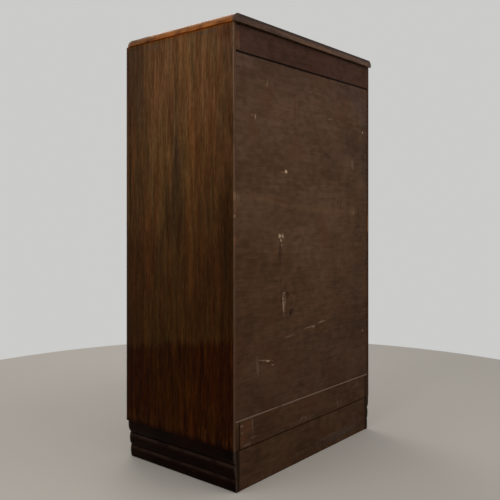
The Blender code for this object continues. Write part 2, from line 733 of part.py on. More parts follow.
def hinge_leaf_mesh(name, side, knuckles):
    """A leaf and its knuckles about the pin's axis: the post's leaf at -X, the door's at +X."""
    near, far = sorted((side * HINGE_GAP / 2, side * (HINGE_GAP / 2 + LEAF_THICKNESS)))
    half = HINGE_HEIGHT / 2
    plate = box(name, (near, HINGE_FORWARD, -half), (far, HINGE_FORWARD + LEAF_WIDTH, half))
    CUTTERS.objects.link(plate)
    helpers = []
    for low, high in knuckles:
        web = box(f"{name}_web", (near, 0, low), (far, HINGE_FORWARD + LEAF_THICKNESS, high))
        middle = (0, 0, (low + high) / 2)
        barrel = cylinder(f"{name}_knuckle", KNUCKLE_RADIUS, HINGE_STEPS, middle, high - low)
        helpers += [as_cutter(web), as_cutter(barrel)]
        join(plate, web)
        join(plate, barrel)
    if side < 0:
        length = HINGE_HEIGHT - CUT_OVERRUN
        pin = cylinder(f"{name}_pin", HINGE_PIN_RADIUS, HINGE_STEPS, (0, 0, 0), length)
        helpers.append(as_cutter(pin))
        join(plate, pin)
    else:
        bore = cylinder(f"{name}_bore", HINGE_BORE_RADIUS, HINGE_STEPS, (0, 0, 0), HINGE_HEIGHT)
        helpers.append(as_cutter(bore))
        cut(plate, bore)
    mesh = evaluated_mesh(plate)
    mesh.transform(Matrix.Translation(plate.location))
    for obj in [plate, *helpers]:
        bpy.data.objects.remove(obj)
    return mesh


def build_doors(posts):
    """Two flush doors, each hung on two butt hinges that are let into the door and the post."""
    half = HINGE_HEIGHT / 2
    end_knuckle = (HINGE_HEIGHT / 3) / 2 + SEAT_GAP / 2
    middle_knuckle = end_knuckle - SEAT_GAP
    ends = [(-half, -end_knuckle), (end_knuckle, half)]
    middle = [(-middle_knuckle, middle_knuckle)]
    post_leaf = hinge_leaf_mesh("hinge_post_leaf", -1, ends)
    door_leaf = hinge_leaf_mesh("hinge_door_leaf", 1, middle)

    for (word, side), post in zip(SIDES, posts):
        pivot = new_empty(f"door_{word}_hinge_line", (side * HINGE_X, HINGE_Y, DOOR_LOW))
        low = (MEETING_GAP / 2, FRONT, DOOR_LOW)
        door = side_box(f"door_{word}", side, low, (DOOR_EDGE, DOOR_BACK, DOOR_HIGH))
        as_part(door, WALNUT, pivot)
        soften(door)
        for level, z in (("lower", DOOR_LOW + HINGE_INSET), ("upper", DOOR_HIGH - HINGE_INSET)):
            turn = (0, math.pi if side > 0 else 0, 0)
            for kind, mesh, parent in (("post", post_leaf, CASE), ("door", door_leaf, pivot)):
                leaf = bpy.data.objects.new(f"hinge_{word}_{level}_{kind}_leaf", mesh)
                leaf.location = (side * HINGE_X, HINGE_Y, z)
                leaf.rotation_euler = turn
                as_part(leaf, BRASS, parent)
            reach = half + SEAT_GAP
            rear = FRONT + LEAF_WIDTH + SEAT_GAP
            depth = LEAF_THICKNESS + SEAT_GAP
            for carrier, near, far in (
                (post, OPENING_HALF - CUT_OVERRUN, OPENING_HALF + depth),
                (door, DOOR_EDGE - depth, DOOR_EDGE + CUT_OVERRUN),
            ):
                mortise = side_box(
                    f"{carrier.name}_{level}_mortise",
                    side,
                    (near, FRONT - CUT_OVERRUN, z - reach),
                    (far, rear, z + reach),
                )
                cut(carrier, as_cutter(mortise))
        knob_x = side * (MEETING_GAP / 2 + DOOR_KNOB_INSET)
        add_knob(f"door_{word}_knob", knob_x, (DOOR_LOW + DOOR_HIGH) / 2, pivot, door)


build_plinth()
POSTS = build_posts_and_rails()
build_boards()
build_back()
build_top()
for drawer in DRAWERS:
    build_drawer(*drawer)
build_doors(POSTS)
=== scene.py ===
"""The looks of a walnut tallboy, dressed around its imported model.

Metres, +Z up, in the model's own frame: the front faces -Y, the back +Y, and left and right are as
seen from the front.
"""

import math

import bmesh
import bpy
import numpy as np
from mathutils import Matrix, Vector


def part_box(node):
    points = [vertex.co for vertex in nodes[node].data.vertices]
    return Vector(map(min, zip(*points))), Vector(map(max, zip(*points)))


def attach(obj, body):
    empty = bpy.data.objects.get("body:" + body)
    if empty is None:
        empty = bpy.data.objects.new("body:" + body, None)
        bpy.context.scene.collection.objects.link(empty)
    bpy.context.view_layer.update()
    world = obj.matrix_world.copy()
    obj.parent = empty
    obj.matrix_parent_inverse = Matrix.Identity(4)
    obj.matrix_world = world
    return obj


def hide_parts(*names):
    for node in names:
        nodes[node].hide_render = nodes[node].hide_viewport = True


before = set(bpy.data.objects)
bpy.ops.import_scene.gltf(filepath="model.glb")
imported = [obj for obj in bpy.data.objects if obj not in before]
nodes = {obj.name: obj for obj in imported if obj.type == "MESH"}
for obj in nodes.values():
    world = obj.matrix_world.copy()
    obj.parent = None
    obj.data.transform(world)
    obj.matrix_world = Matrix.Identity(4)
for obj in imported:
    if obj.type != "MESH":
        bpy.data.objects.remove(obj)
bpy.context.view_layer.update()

# The studio: a level camera behind the piece, where the photograph was taken, over a plain pale floor.
# The light is soft: a pale room all round, and three broad lamps over the side, the back and the front.
PICTURE_PIXELS = 500
FOCAL_PIXELS = 653
HORIZON_PIXEL = 216.3
CAMERA_PLACE = (1.650, 1.367, 0.733)
CAMERA_TURN = 129.74  # degrees about the upright axis
FLOOR_RADIUS = 1.75
FLOOR_DROP = 0.0004  # under the plinth, so that their faces don't meet
FLOOR_STEPS = 97  # points round its edge
FLOOR_COLOUR = (0.36, 0.335, 0.305)
FLOOR_ROUGHNESS = 0.7
FLOOR_GLOSS = 0.1
ROOM_COLOUR = (0.60, 0.60, 0.59)
LAMPS = (
    # name, place, what it shines at, width, power, colour
    ("side_lamp", (1.15, 0.0, 2.45), (0.3, 0.0, 0.9), 1.0, 17, (1.0, 0.97, 0.93)),
    ("back_lamp", (-0.1, 1.15, 2.75), (0.0, 0.2, 0.8), 1.1, 22, (1.0, 0.97, 0.94)),
    ("front_lamp", (-0.9, -1.9, 2.5), (0.0, -0.2, 0.7), 1.6, 30, (1.0, 0.97, 0.94)),
)


def grid_mesh(name, points, wrap=False):
    """A mesh over a grid of points, rows by columns, with one four-sided face in each cell.

    Where wrap is set, the last column joins the first and the end rows are closed by one face each.
    Points with one more dimension in front give that many copies of the grid in the one mesh.
    """
    rows, columns = points.shape[-3:-1]
    index = np.arange(rows * columns).reshape(rows, columns)
    if wrap:
        index = np.concatenate([index, index[:, :1]], axis=1)
    corners = [index[:-1, :-1], index[1:, :-1], index[1:, 1:], index[:-1, 1:]]
    cells = np.stack(corners, axis=-1).reshape(-1, 4)
    first = np.arange(0, points.size // 3, rows * columns)[:, None, None]
    faces = (cells + first).reshape(-1, 4).tolist()
    if wrap:
        caps = np.stack([index[0, :-1], index[-1, -2::-1]])
        faces += (caps + first).reshape(-1, columns).tolist()
    mesh = bpy.data.meshes.new(name)
    mesh.from_pydata(points.reshape(-1, 3).tolist(), [], faces)
    return mesh


def link_object(mesh):
    """An object of a mesh, by the mesh's name, at the origin."""
    made = bpy.data.objects.new(mesh.name, mesh)
    bpy.context.scene.collection.objects.link(made)
    return made


def add_lamp(name, place, target, size, power, colour):
    """A square lamp at a place, turned so that it shines at a target."""
    data = bpy.data.lights.new(name, "AREA")
    data.shape = "SQUARE"
    data.size = size
    data.energy = power
    data.color = colour
    lamp = bpy.data.objects.new(name, data)
    lamp.location = place
    away = lamp.location - Vector(target)
    lamp.rotation_euler = away.to_track_quat("Z", "Y").to_euler()
    bpy.context.scene.collection.objects.link(lamp)


scene = bpy.context.scene
scene.view_settings.view_transform = "Standard"

lens = bpy.data.cameras.new("photo_camera")
lens.lens = FOCAL_PIXELS / PICTURE_PIXELS * lens.sensor_width
lens.shift_y = (HORIZON_PIXEL - PICTURE_PIXELS / 2) / PICTURE_PIXELS
camera = bpy.data.objects.new("photo_camera", lens)
camera.location = CAMERA_PLACE
camera.rotation_euler = (math.pi / 2, 0, math.radians(CAMERA_TURN))
scene.collection.objects.link(camera)
scene.camera = camera

room = bpy.data.worlds.new("pale_room")
room.use_nodes = True
room.node_tree.nodes["Background"].inputs["Color"].default_value = (*ROOM_COLOUR, 1)
scene.world = room
for lamp in LAMPS:
    add_lamp(*lamp)

angle = np.linspace(0, 2 * math.pi, FLOOR_STEPS)
reach = np.array([0.001, 0.5, 1.0]) * FLOOR_RADIUS
floor_points = np.stack(
    [
        np.outer(reach, np.cos(angle)),
        np.outer(reach, np.sin(angle)),
        np.full((len(reach), len(angle)), -FLOOR_DROP),
    ],
    axis=-1,
)
floor = link_object(grid_mesh("pale_floor", floor_points))
floor_finish = bpy.data.materials.new("pale_floor")
floor_finish.use_nodes = True
floor_shader = floor_finish.node_tree.nodes["Principled BSDF"]
floor_shader.inputs["Base Color"].default_value = (*FLOOR_COLOUR, 1)
floor_shader.inputs["Roughness"].default_value = FLOOR_ROUGHNESS
floor_shader.inputs["Specular IOR Level"].default_value = FLOOR_GLOSS
floor.data.materials.append(floor_finish)

# The plinth: three reeds, each set further in than the one above it, run along both sides and the
# front and turn the rounded front corners. It is beech, stained black, polished and rubbed by use,
# with painted highlights on its reeds and painted shadow at its upper rear corners.
HANDS = {"left": -1, "right": 1}  # which way each side lies along X
HALF_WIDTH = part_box("side_panel_right")[1].x
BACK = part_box("side_panel_right")[1].y
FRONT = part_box("front_post_right")[0].y
PLINTH_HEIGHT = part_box("plinth_front")[1].z
PLINTH_RADIUS = 0.032
PLINTH_INNER = 0.024  # in from the case, as the recesses below are
UPPER_REED = 0.0025
UPPER_GROOVE = 0.0115
MIDDLE_REED = 0.0065
LOWER_GROOVE = 0.0125
LOWER_REED = 0.0095
FLOOR_RECESS = 0.013
LOWER_GROOVE_Z = 0.036
UPPER_GROOVE_Z = 0.074
UPPER_FLAT_Z = 0.095
EBONY_DEEP = (0.0040, 0.0010, 0.0003)
EBONY_WARM = (0.0090, 0.0028, 0.0009)
EBONY_RUBBED = (0.060, 0.026, 0.011)
PLINTH_CORNER_SHADOW = (0.0010, 0.0004, 0.0002)
PLINTH_END = (0.018, 0.0090, 0.0042)
PLINTH_HIGHLIGHT = (0.031, 0.0155, 0.0100)
END_CHAFED = (0.044, 0.0270, 0.0210)
END_FOOT = 0.0125  # how far in the sawn ends' outer edge is at the floor
END_LEAN = 0.09  # and how it leans out above
SHARP_ANGLE = 38  # degrees between faces, from which their edge stays sharp
REED_STEPS = 14  # points over a reed, half of them on each side of its crown
CORNER_STEPS = 20  # points round a moulding's corner


class Shade:
    """A node's output that takes part in plain arithmetic: each operator adds a Math node."""

    def __init__(self, socket):
        self.socket = socket

    def node(self, kind, settings, sockets, out=0):
        """Adds a node of a type: its settings first, then the values or links of its sockets."""
        tree = self.socket.id_data
        made = tree.nodes.new(kind)
        for key, value in settings.items():
            setattr(made, key, value)
        for key, value in sockets.items():
            if isinstance(value, Shade):
                tree.links.new(value.socket, made.inputs[key])
            else:
                made.inputs[key].default_value = value
        return Shade(made.outputs[out])

    def maths(self, operation, first, second):
        return self.node("ShaderNodeMath", {"operation": operation}, {0: first, 1: second})

    def __add__(self, other):
        return self.maths("ADD", self, other)

    __radd__ = __add__

    def __sub__(self, other):
        return self.maths("SUBTRACT", self, other)

    def __rsub__(self, other):
        return self.maths("SUBTRACT", other, self)

    def __mul__(self, other):
        return self.maths("MULTIPLY", self, other)

    def __abs__(self):
        return self.maths("ABSOLUTE", self, 0)

    def smaller(self, other):
        return self.maths("MINIMUM", self, other)

    def ease(self, low, high):
        """Nought up to low, one from high, and a smooth rise between; low may be the larger one."""
        settings = {"interpolation_type": "SMOOTHSTEP"}
        return self.node("ShaderNodeMapRange", settings, {"Value": self, 1: low, 2: high})

    def mix(self, kind, share, first, second):
        """Two colours, plain ones or shades, mixed in a way of the Mix node by a share."""
        first, second = (c if isinstance(c, Shade) else (*c, 1) for c in (first, second))
        settings = {"data_type": "RGBA", "blend_type": kind}
        return self.node("ShaderNodeMix", settings, {0: share, 6: first, 7: second}, 2)

    def blend(self, first, second):
        """The first colour where this is nought and the second where it is one."""
        return self.mix("MIX", self, first, second)

    def tint(self, other):
        """This colour multiplied by another."""
        return self.mix("MULTIPLY", 1.0, self, other)

    def tinted(self, colour, tone):
        """A colour, multiplied by a tone where this is one."""
        return self.blend(colour, colour.tint(tone))

    def axis(self, number):
        return self.node("ShaderNodeSeparateXYZ", {}, {0: self}, number)

    @property
    def x(self):
        return self.axis(0)

    @property
    def y(self):
        return self.axis(1)

    @property
    def z(self):
        return self.axis(2)

    def streaks(self, size, detail=2.0, place=(0, 0, 0), out=0):
        """Noise whose spots have these lengths along X, Y and Z, in metres."""
        scale = tuple(1 / length for length in size)
        sockets = {"Vector": self, "Location": place, "Scale": scale}
        spread = self.node("ShaderNodeMapping", {}, sockets)
        sockets = {"Vector": spread, "Scale": 1.0, "Detail": detail}
        return self.node("ShaderNodeTexNoise", {}, sockets, out)

    def speckle(self, size, detail):
        """Noise whose spots are as long one way as the other."""
        return self.streaks((size, size, size), detail)

    def ramp(self, *stops):
        """A colour by value: each stop is a value and its colour."""
        shade = self.node("ShaderNodeValToRGB", {}, {0: self})
        elements = shade.socket.node.color_ramp.elements
        for _ in stops[2:]:
            elements.new(1.0)
        for stop, (place, colour) in zip(elements, stops):
            stop.position = place
            stop.color = (*colour, 1)
        return shade

    def drift(self, size, reach):
        """This place, pushed up to half of reach each way in swirls of these lengths."""
        swirl = self.streaks(size, 1.0, out=1)
        sockets = {0: swirl, 1: (reach,) * 3, 2: (-reach / 2,) * 3}
        push = self.node("ShaderNodeVectorMath", {"operation": "MULTIPLY_ADD"}, sockets)
        return self.node("ShaderNodeVectorMath", {"operation": "ADD"}, {0: self, 1: push})


def begin_finish(name, specular, metallic=0.0):
    """A new material, and the place on the piece in metres."""
    made = bpy.data.materials.new(name)
    made.use_nodes = True
    tree = made.node_tree
    inputs = tree.nodes["Principled BSDF"].inputs
    inputs["Specular IOR Level"].default_value = specular
    inputs["Metallic"].default_value = metallic
    return made, Shade(tree.nodes.new("ShaderNodeTexCoord").outputs["Object"])


def end_finish(finish, colour, roughness, height=None, depth=0.0):
    """Feeds a material its colour, its roughness and a bump from a height, so deep in metres."""
    tree = finish.node_tree
    inputs = tree.nodes["Principled BSDF"].inputs
    tree.links.new(colour.socket, inputs["Base Color"])
    tree.links.new(roughness.socket, inputs["Roughness"])
    if height is not None:
        bump = height.node("ShaderNodeBump", {}, {"Height": height, "Distance": depth})
        tree.links.new(bump.socket, inputs["Normal"])
    return finish


def quarter_turn(steps):
    """Rows of unit vectors in plan, over a quarter turn clockwise from +X: cosine and minus sine."""
    angle = np.linspace(0, math.pi / 2, steps)
    return np.column_stack([np.cos(angle), -np.sin(angle)])


def side_route(outer_x, front_y, rear_y, radius):
    """A route in plan, with its outward directions: forward along the right side, round the corner."""
    outward = quarter_turn(CORNER_STEPS)
    corner = np.array([outer_x - radius, front_y + radius]) + radius * outward
    route = np.concatenate([[[outer_x, rear_y]], corner])
    return route, np.concatenate([[[1.0, 0.0]], outward])


def running_length(points):
    """The length along a row of points, from the first one to each."""
    steps = np.linalg.norm(np.diff(points, axis=0), axis=1)
    return np.concatenate([[0], np.cumsum(steps)])


def moulding_mesh(name, profile, route, outward):
    """A closed profile of (recess, z) carried along a route in plan, set in by its recess.

    Its UV map is the length along the route and the length round the profile, in metres.
    """
    plan = route[:, None, :] - profile[None, :, :1] * outward[:, None, :]
    height = np.broadcast_to(profile[None, :, 1:], (*plan.shape[:2], 1))
    mesh = grid_mesh(name, np.concatenate([plan, height], axis=-1), wrap=True)
    lengths = np.meshgrid(running_length(route), running_length(profile), indexing="ij")
    place = np.stack(lengths, axis=-1).reshape(-1, 2)
    corner = np.empty(len(mesh.loops), dtype=np.int32)
    mesh.loops.foreach_get("vertex_index", corner)
    mesh.uv_layers.new(name="along").data.foreach_set("uv", place[corner].ravel())
    return mesh


def turn_outwards(mesh):
    """Makes a closed mesh's faces point outwards."""
    shape = bmesh.new()
    shape.from_mesh(mesh)
    bmesh.ops.recalc_face_normals(shape, faces=shape.faces)
    shape.to_mesh(mesh)
    shape.free()


def new_piece(mesh, body, finish, slot, *replaced):
    """A piece that rides on a body, shaded round up to a sharp edge, in place of any nodes named."""
    turn_outwards(mesh)
    mesh.shade_smooth()
    mesh.set_sharp_from_angle(angle=math.radians(SHARP_ANGLE))
    made = link_object(mesh)
    mesh.materials.append(finish)
    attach(made, body)
    if replaced:
        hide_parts(*replaced)


def reed(low, crown, high):
    """A reed as (recess, z): a quarter ellipse out to its crown and another back to the next groove."""
    angle = np.linspace(-math.pi / 2, math.pi / 2, REED_STEPS)
    foot = np.where(angle < 0, low[0], high[0])
    recess = foot + (crown - foot) * np.cos(angle)
    rise = (low[1] + high[1]) / 2 + (high[1] - low[1]) / 2 * np.sin(angle)
    return np.column_stack([recess, rise])


def plinth_profile():
    """Up the three reeds from the floor, over the top and down the inner face, as (recess, z)."""
    floor_edge = (FLOOR_RECESS, 0.0)
    lower_groove = (LOWER_GROOVE, LOWER_GROOVE_Z)
    upper_groove = (UPPER_GROOVE, UPPER_GROOVE_Z)
    far_groove = (UPPER_GROOVE, 2 * UPPER_FLAT_Z - UPPER_GROOVE_Z)
    lower = reed(floor_edge, LOWER_REED, lower_groove)
    middle = reed(lower_groove, MIDDLE_REED, upper_groove)[1:]
    upper = reed(upper_groove, UPPER_REED, far_groove)[1 : REED_STEPS // 2]
    rest = [(UPPER_REED, UPPER_FLAT_Z), (UPPER_REED, PLINTH_HEIGHT)]
    rest += [(PLINTH_INNER, PLINTH_HEIGHT), (PLINTH_INNER, 0.0)]
    return np.concatenate([lower, middle, upper, rest])


def ebonised_finish():
    """Near black, browner in soft patches, with painted highlights on the lower reeds' upper slopes.

    It is painted blackest at the upper rear corners, a painted shadow under the case. The sawn rear
    ends are only stained brown, and chafed paler along their outer edge.
    """
    finish, place = begin_finish("ebonised_wood", 0.025)
    patches = place.speckle(0.09, 3.0)
    grain = place.streaks((0.05, 0.05, 0.003))
    colour = (patches * 0.6 + grain * 0.4).ease(0.35, 0.65).blend(EBONY_DEEP, EBONY_WARM)
    height = place.z
    # Painted highlights: the upper slope just under each groove is painted paler.
    for groove_z in (LOWER_GROOVE_Z, UPPER_GROOVE_Z):
        slope = height.ease(groove_z - 0.0150, groove_z - 0.0050)
        slope = slope * height.ease(groove_z - 0.0008, groove_z - 0.0040)
        highlight = slope * place.speckle(0.05, 3.0).ease(0.25, 0.60)
        colour = (highlight * 0.8).blend(colour, PLINTH_HIGHLIGHT)
    flecks = place.streaks((0.02, 0.02, 0.003), 4.0).ease(0.66, 0.76)
    colour = (flecks * 0.35).blend(colour, EBONY_RUBBED)
    # Painted shadow: the upper rear corners are painted near black.
    corner = place.y.ease(BACK - 0.070, BACK - 0.015)
    corner = corner * height.ease(PLINTH_HEIGHT - 0.030, PLINTH_HEIGHT - 0.018)
    colour = (corner * 0.8).blend(colour, PLINTH_CORNER_SHADOW)
    rear = place.y.ease(BACK - 0.0014, BACK - 0.0006)
    chafed = place.y.ease(BACK - 0.0060, BACK - 0.0020) * patches.ease(0.40, 0.60)
    colour = (chafed * 0.7).blend(colour, END_CHAFED)
    rim = HALF_WIDTH - abs(place.x) - (END_FOOT - height * END_LEAN)
    colour = rear.blend(colour, rim.ease(0.0020, 0.0080).blend(END_CHAFED, PLINTH_END))
    return end_finish(finish, colour, 0.26 + patches * 0.22, grain, 0.0002)


EBONISED = ebonised_finish()
right_route, right_outward = side_route(HALF_WIDTH, FRONT, BACK, PLINTH_RADIUS)
profile = plinth_profile()
for hand, side in HANDS.items():
    turn = np.array([side, 1.0])
    mesh = moulding_mesh(f"plinth_{hand}_reeds", profile, right_route * turn, right_outward * turn)
    new_piece(mesh, "case", EBONISED, "ebonised_wood", f"plinth_{hand}")
front_low, front_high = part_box("plinth_front")
front_route = np.array([[front_high.x, FRONT], [front_low.x, FRONT]])
front_outward = np.array([[0.0, -1.0], [0.0, -1.0]])
mesh = moulding_mesh("plinth_front_reeds", profile, front_route, front_outward)
new_piece(mesh, "case", EBONISED, "ebonised_wood", "plinth_front")

# The sides of the case: thin panels faced with straight-grained walnut veneer, lapped on front posts
# with a rounded corner. Painted shade darkens them towards the foot and a painted sheen pales them
# towards the top.
LEVELS = ("lower", "upper")
CASE_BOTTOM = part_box("side_panel_right")[0].z
CASE_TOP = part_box("side_panel_right")[1].z
WALNUT_DARK = (0.052, 0.0215, 0.0062)
WALNUT_MID = (0.088, 0.0385, 0.0125)
WALNUT_PALE = (0.138, 0.0640, 0.0225)
# Painted shade towards the foot and a painted sheen, paler and bluer, towards the top.
SIDE_LIGHT_RAMP = (
    # share of the height, and the tint there
    (0.00, (0.43, 0.37, 0.21)),
    (0.28, (0.44, 0.39, 0.22)),
    (0.42, (0.50, 0.45, 0.34)),
    (0.56, (0.64, 0.63, 0.56)),
    (0.70, (0.84, 0.88, 0.90)),
    (0.85, (1.00, 1.06, 1.25)),
    (0.97, (1.05, 1.12, 1.34)),
)
# The same painted shade and sheen up the front posts.
POST_LIGHT_RAMP = (
    (0.00, (0.36, 0.28, 0.16)),
    (0.30, (0.36, 0.30, 0.19)),
    (0.42, (0.43, 0.36, 0.25)),
    (0.56, (0.65, 0.62, 0.56)),
    (0.72, (0.74, 0.73, 0.74)),
    (0.84, (0.60, 0.64, 0.82)),
    (0.92, (0.52, 0.58, 0.80)),
)
FLOOR_REFLECTION_DEEP = (0.46, 0.25, 0.035)
FLOOR_REFLECTION_GLOW = (0.80, 0.50, 0.090)
FLOOR_REFLECTION_LINE = 0.3670  # height of the painted floor reflection's upper edge at the middle of the side
FLOOR_REFLECTION_SLOPE = 0.1560  # its rise towards the back
SIDE_CLOUDS = (
    # middle y and z, half depth and half height, tint, strength
    (0.020, 0.880, 0.014, 0.085, (0.60, 0.65, 0.90), 0.9),
    (0.010, 0.745, 0.036, 0.080, (0.64, 0.71, 0.80), 0.8),
    (-0.016, 0.930, 0.014, 0.110, (1.14, 1.20, 1.20), 0.7),
    (0.010, 0.580, 0.040, 0.120, (0.88, 0.92, 0.96), 0.6),
    (-0.105, 0.650, 0.028, 0.140, (1.14, 0.95, 0.88), 0.8),
    (-0.075, 0.715, 0.040, 0.060, (1.16, 1.14, 1.22), 0.7),
    (-0.105, 1.150, 0.030, 0.150, (0.78, 0.80, 0.78), 0.7),
    (-0.055, 0.920, 0.026, 0.200, (1.16, 1.12, 1.04), 0.7),
    (0.072, 0.850, 0.018, 0.300, (1.40, 1.30, 1.14), 0.8),
    (0.058, 1.165, 0.034, 0.090, (1.12, 1.14, 1.06), 0.8),
    (0.150, 0.900, 0.055, 0.130, (0.95, 0.84, 0.80), 0.8),
    (0.140, 0.600, 0.050, 0.120, (1.04, 0.88, 0.84), 0.8),
    (0.180, 0.560, 0.045, 0.200, (0.85, 0.80, 0.80), 0.8),
    # The next four darken a band along the rear edge, up to under the lipping: painted shade.
    (0.218, 0.690, 0.034, 0.150, (0.54, 0.53, 0.50), 0.9),
    (0.215, 0.990, 0.030, 0.140, (0.76, 0.76, 0.80), 0.8),
    (0.212, 1.195, 0.036, 0.070, (0.76, 0.76, 0.88), 0.9),
    (0.208, 1.225, 0.032, 0.020, (0.70, 0.58, 0.58), 0.8),
    (-0.020, 0.270, 0.080, 0.110, (1.00, 1.22, 1.10), 0.7),
    (0.150, 0.300, 0.060, 0.090, (1.08, 0.86, 0.80), 0.8),
    (0.212, 0.400, 0.026, 0.110, (0.84, 0.70, 0.58), 0.9),
    (0.055, 0.400, 0.034, 0.045, (1.28, 1.22, 1.10), 0.8),
    (0.077, 0.145, 0.020, 0.040, (1.25, 1.18, 1.05), 0.8),
    (-0.080, 1.229, 0.030, 0.005, (0.80, 0.95, 1.50), 0.8),
    (0.130, 1.236, 0.040, 0.004, (0.78, 0.92, 1.50), 0.8),
)
POST_CLOUDS = ((-0.183, 0.850, 0.0046, 0.250, (0.48, 0.45, 0.42), 0.9),)
FOOT_PALE = (0.066, 0.0230, 0.0045)
BOTTOM_EDGE_SHADE = (0.50, 0.40, 0.40)
UNDER_TOP_LIGHT = (1.80, 1.25, 0.65)
ARRIS_WORN = (0.158, 0.094, 0.059)
ARRIS_DULL = (0.075, 0.0430, 0.0270)
EDGE_STAIN = (0.102, 0.0520, 0.0300)
EDGE_STAIN_DEEP_AND_SHADE = (0.040, 0.0190, 0.0100)
RED_TINT = (1.07, 0.96, 0.90)
GREEN_TINT = (0.95, 1.02, 1.02)
ARRIS_ORANGE = (0.150, 0.066, 0.026)
ARRIS_BARE = (0.175, 0.098, 0.054)
BARED_SPOTS = ((0.786, 0.012), (0.7335, 0.0045))  # heights and half heights on the near arris
BARED_WIDTH = 0.016
CHAFED_Z = 0.715  # middle of a chafed stretch of the rear edge
CHAFED_HALF = 0.085  # half its height
FAR = 100  # a half size that leaves an axis out of an ellipse
INNER_TINT = (1.25, 1.15, 1.05)
POST_RADIUS = 0.024
POST_STEPS = 16  # points round a post's corner
MORTISE_DEPTH = 0.0018
HINGE_REACH = 0.0163  # rear edge of a hinge's mortise, from the front
HINGE_HALF = 0.0303  # half the height of a hinge's mortise
BEVEL_ANGLE = 40  # degrees between faces, from which their edge is softened


def soften(name, width):
    """Joins a node's loose triangles and takes the sharpness off its edges."""
    weld = nodes[name].modifiers.new("joined_faces", "WELD")
    weld.merge_threshold = 0.00001
    bevel = nodes[name].modifiers.new("soft_edges", "BEVEL")
    bevel.width = width
    bevel.segments = 2
    bevel.limit_method = "ANGLE"
    bevel.angle_limit = math.radians(BEVEL_ANGLE)
    bevel.harden_normals = True


def dress(finish, *names):
    """Gives CAD nodes a finish in place of the plain one that they were packed with."""
    for name in names:
        for slot in nodes[name].material_slots:
            slot.material = finish


def grain_size(axis, width, length):
    """The lengths of a streak along X, Y and Z where the grain runs along one of them."""
    return tuple(length if letter == axis else width for letter in "XYZ")


def veneer(place, axis, shift):
    """Walnut's figure from nought, dark, to one, pale: bands, plumes, streaks and fine threads."""
    start = (shift, shift, shift)
    swaying = place.drift(grain_size(axis, 0.05, 0.12), 0.006)
    swaying = swaying.drift(grain_size(axis, 0.015, 0.04), 0.0016)
    bands = swaying.streaks(grain_size(axis, 0.032, 0.45), 2.0, start)
    plumes = swaying.streaks(grain_size(axis, 0.012, 0.15), 4.0, start)
    streaks = swaying.streaks(grain_size(axis, 0.0064, 0.075), 3.0, start)
    threads = swaying.streaks(grain_size(axis, 0.0038, 0.020), 3.0, start)
    return bands * 0.12 + plumes * 0.26 + streaks * 0.34 + threads * 0.28


def walnut_colour(figure, dark=0.385, pale=0.615):
    """Walnut's colours over a figure, between its darkest and its palest values."""
    return figure.ramp((dark, WALNUT_DARK), (0.50, WALNUT_MID), (pale, WALNUT_PALE))


def spot(place, centre, reach, turn, ragged):
    """How far a place is from an ellipse's middle: one at its edge, which a ragged noise breaks up.

    The ellipse has a middle, half sizes and a turn about Y in degrees.
    """
    sockets = {
        "Vector": place,
        "Location": centre,
        "Rotation": (0, math.radians(turn), 0),
        "Scale": reach,
    }
    own = place.node("ShaderNodeMapping", {"vector_type": "TEXTURE"}, sockets)
    away = own.node("ShaderNodeVectorMath", {"operation": "LENGTH"}, {0: own}, 1)
    return away + ragged


def clouded(place, colour, clouds, axis, ragged):
    """Tints a colour in soft ragged ellipses, each placed by its X or Y and its Z."""
    for along, z, half_length, half_height, tone, strength in clouds:
        centre, reach = (0, along, z), (FAR, half_length, half_height)
        if axis == "X":
            centre, reach = (along, 0, z), (half_length, FAR, half_height)
        away = spot(place, centre, reach, 0, ragged)
        colour = (away.ease(1.5, 0.4) * strength).tinted(colour, tone)
    return colour


def rear_edge(place, colour, figure, rise):
    """The rear edge of a side: stained like the back, and worn along its arris.

    On the left side (-X) the edge and its arris are painted darker, a painted shade, and the arris
    line broadens towards the top. Both have a chafed stretch at mid height, and the right side has
    two spots of bare wood.
    """
    breakup = place.streaks((0.01, 0.01, 0.05), 3.0)
    rear = place.y.ease(BACK - 0.0014, BACK - 0.0004)
    # Painted shade: on the left side (-X) the rear edge and its arris are painted darker.
    far_side_shade = place.x.ease(0.0, -HALF_WIDTH)
    paler = (0.35 + figure.ease(0.3, 0.7) * 0.65) * (1 - far_side_shade)
    colour = rear.blend(colour, paler.blend(EDGE_STAIN_DEEP_AND_SHADE, EDGE_STAIN))
    upper = rise.ease(0.66, 0.90)
    near_edge = (place.y + upper * 0.0020).ease(BACK - 0.0014, BACK - 0.0004)
    near_corner = abs(place.x) - upper * 0.0028
    near_corner = near_corner.ease(HALF_WIDTH - 0.0055, HALF_WIDTH - 0.0030)
    pale_band = near_edge * near_corner * breakup.ease(0.26, 0.50) * (1 - far_side_shade * 0.7)
    colour = (pale_band * 0.85).blend(colour, rise.ease(0.0, 1.1).blend(ARRIS_DULL, ARRIS_WORN))
    chafed = spot(place, (0, 0, CHAFED_Z), (FAR, FAR, CHAFED_HALF), 0, (breakup - 0.5) * 1.6)
    colour = (rear * chafed.ease(1.1, 0.7) * breakup.ease(0.45, 0.62)).blend(colour, ARRIS_ORANGE)
    for bare_z, half in BARED_SPOTS:
        centre, reach = (HALF_WIDTH, 0, bare_z), (BARED_WIDTH, FAR, half)
        bared = spot(place, centre, reach, 0, (breakup - 0.5) * 0.6)
        colour = (rear * bared.ease(1.2, 0.6)).blend(colour, ARRIS_BARE)
    return colour


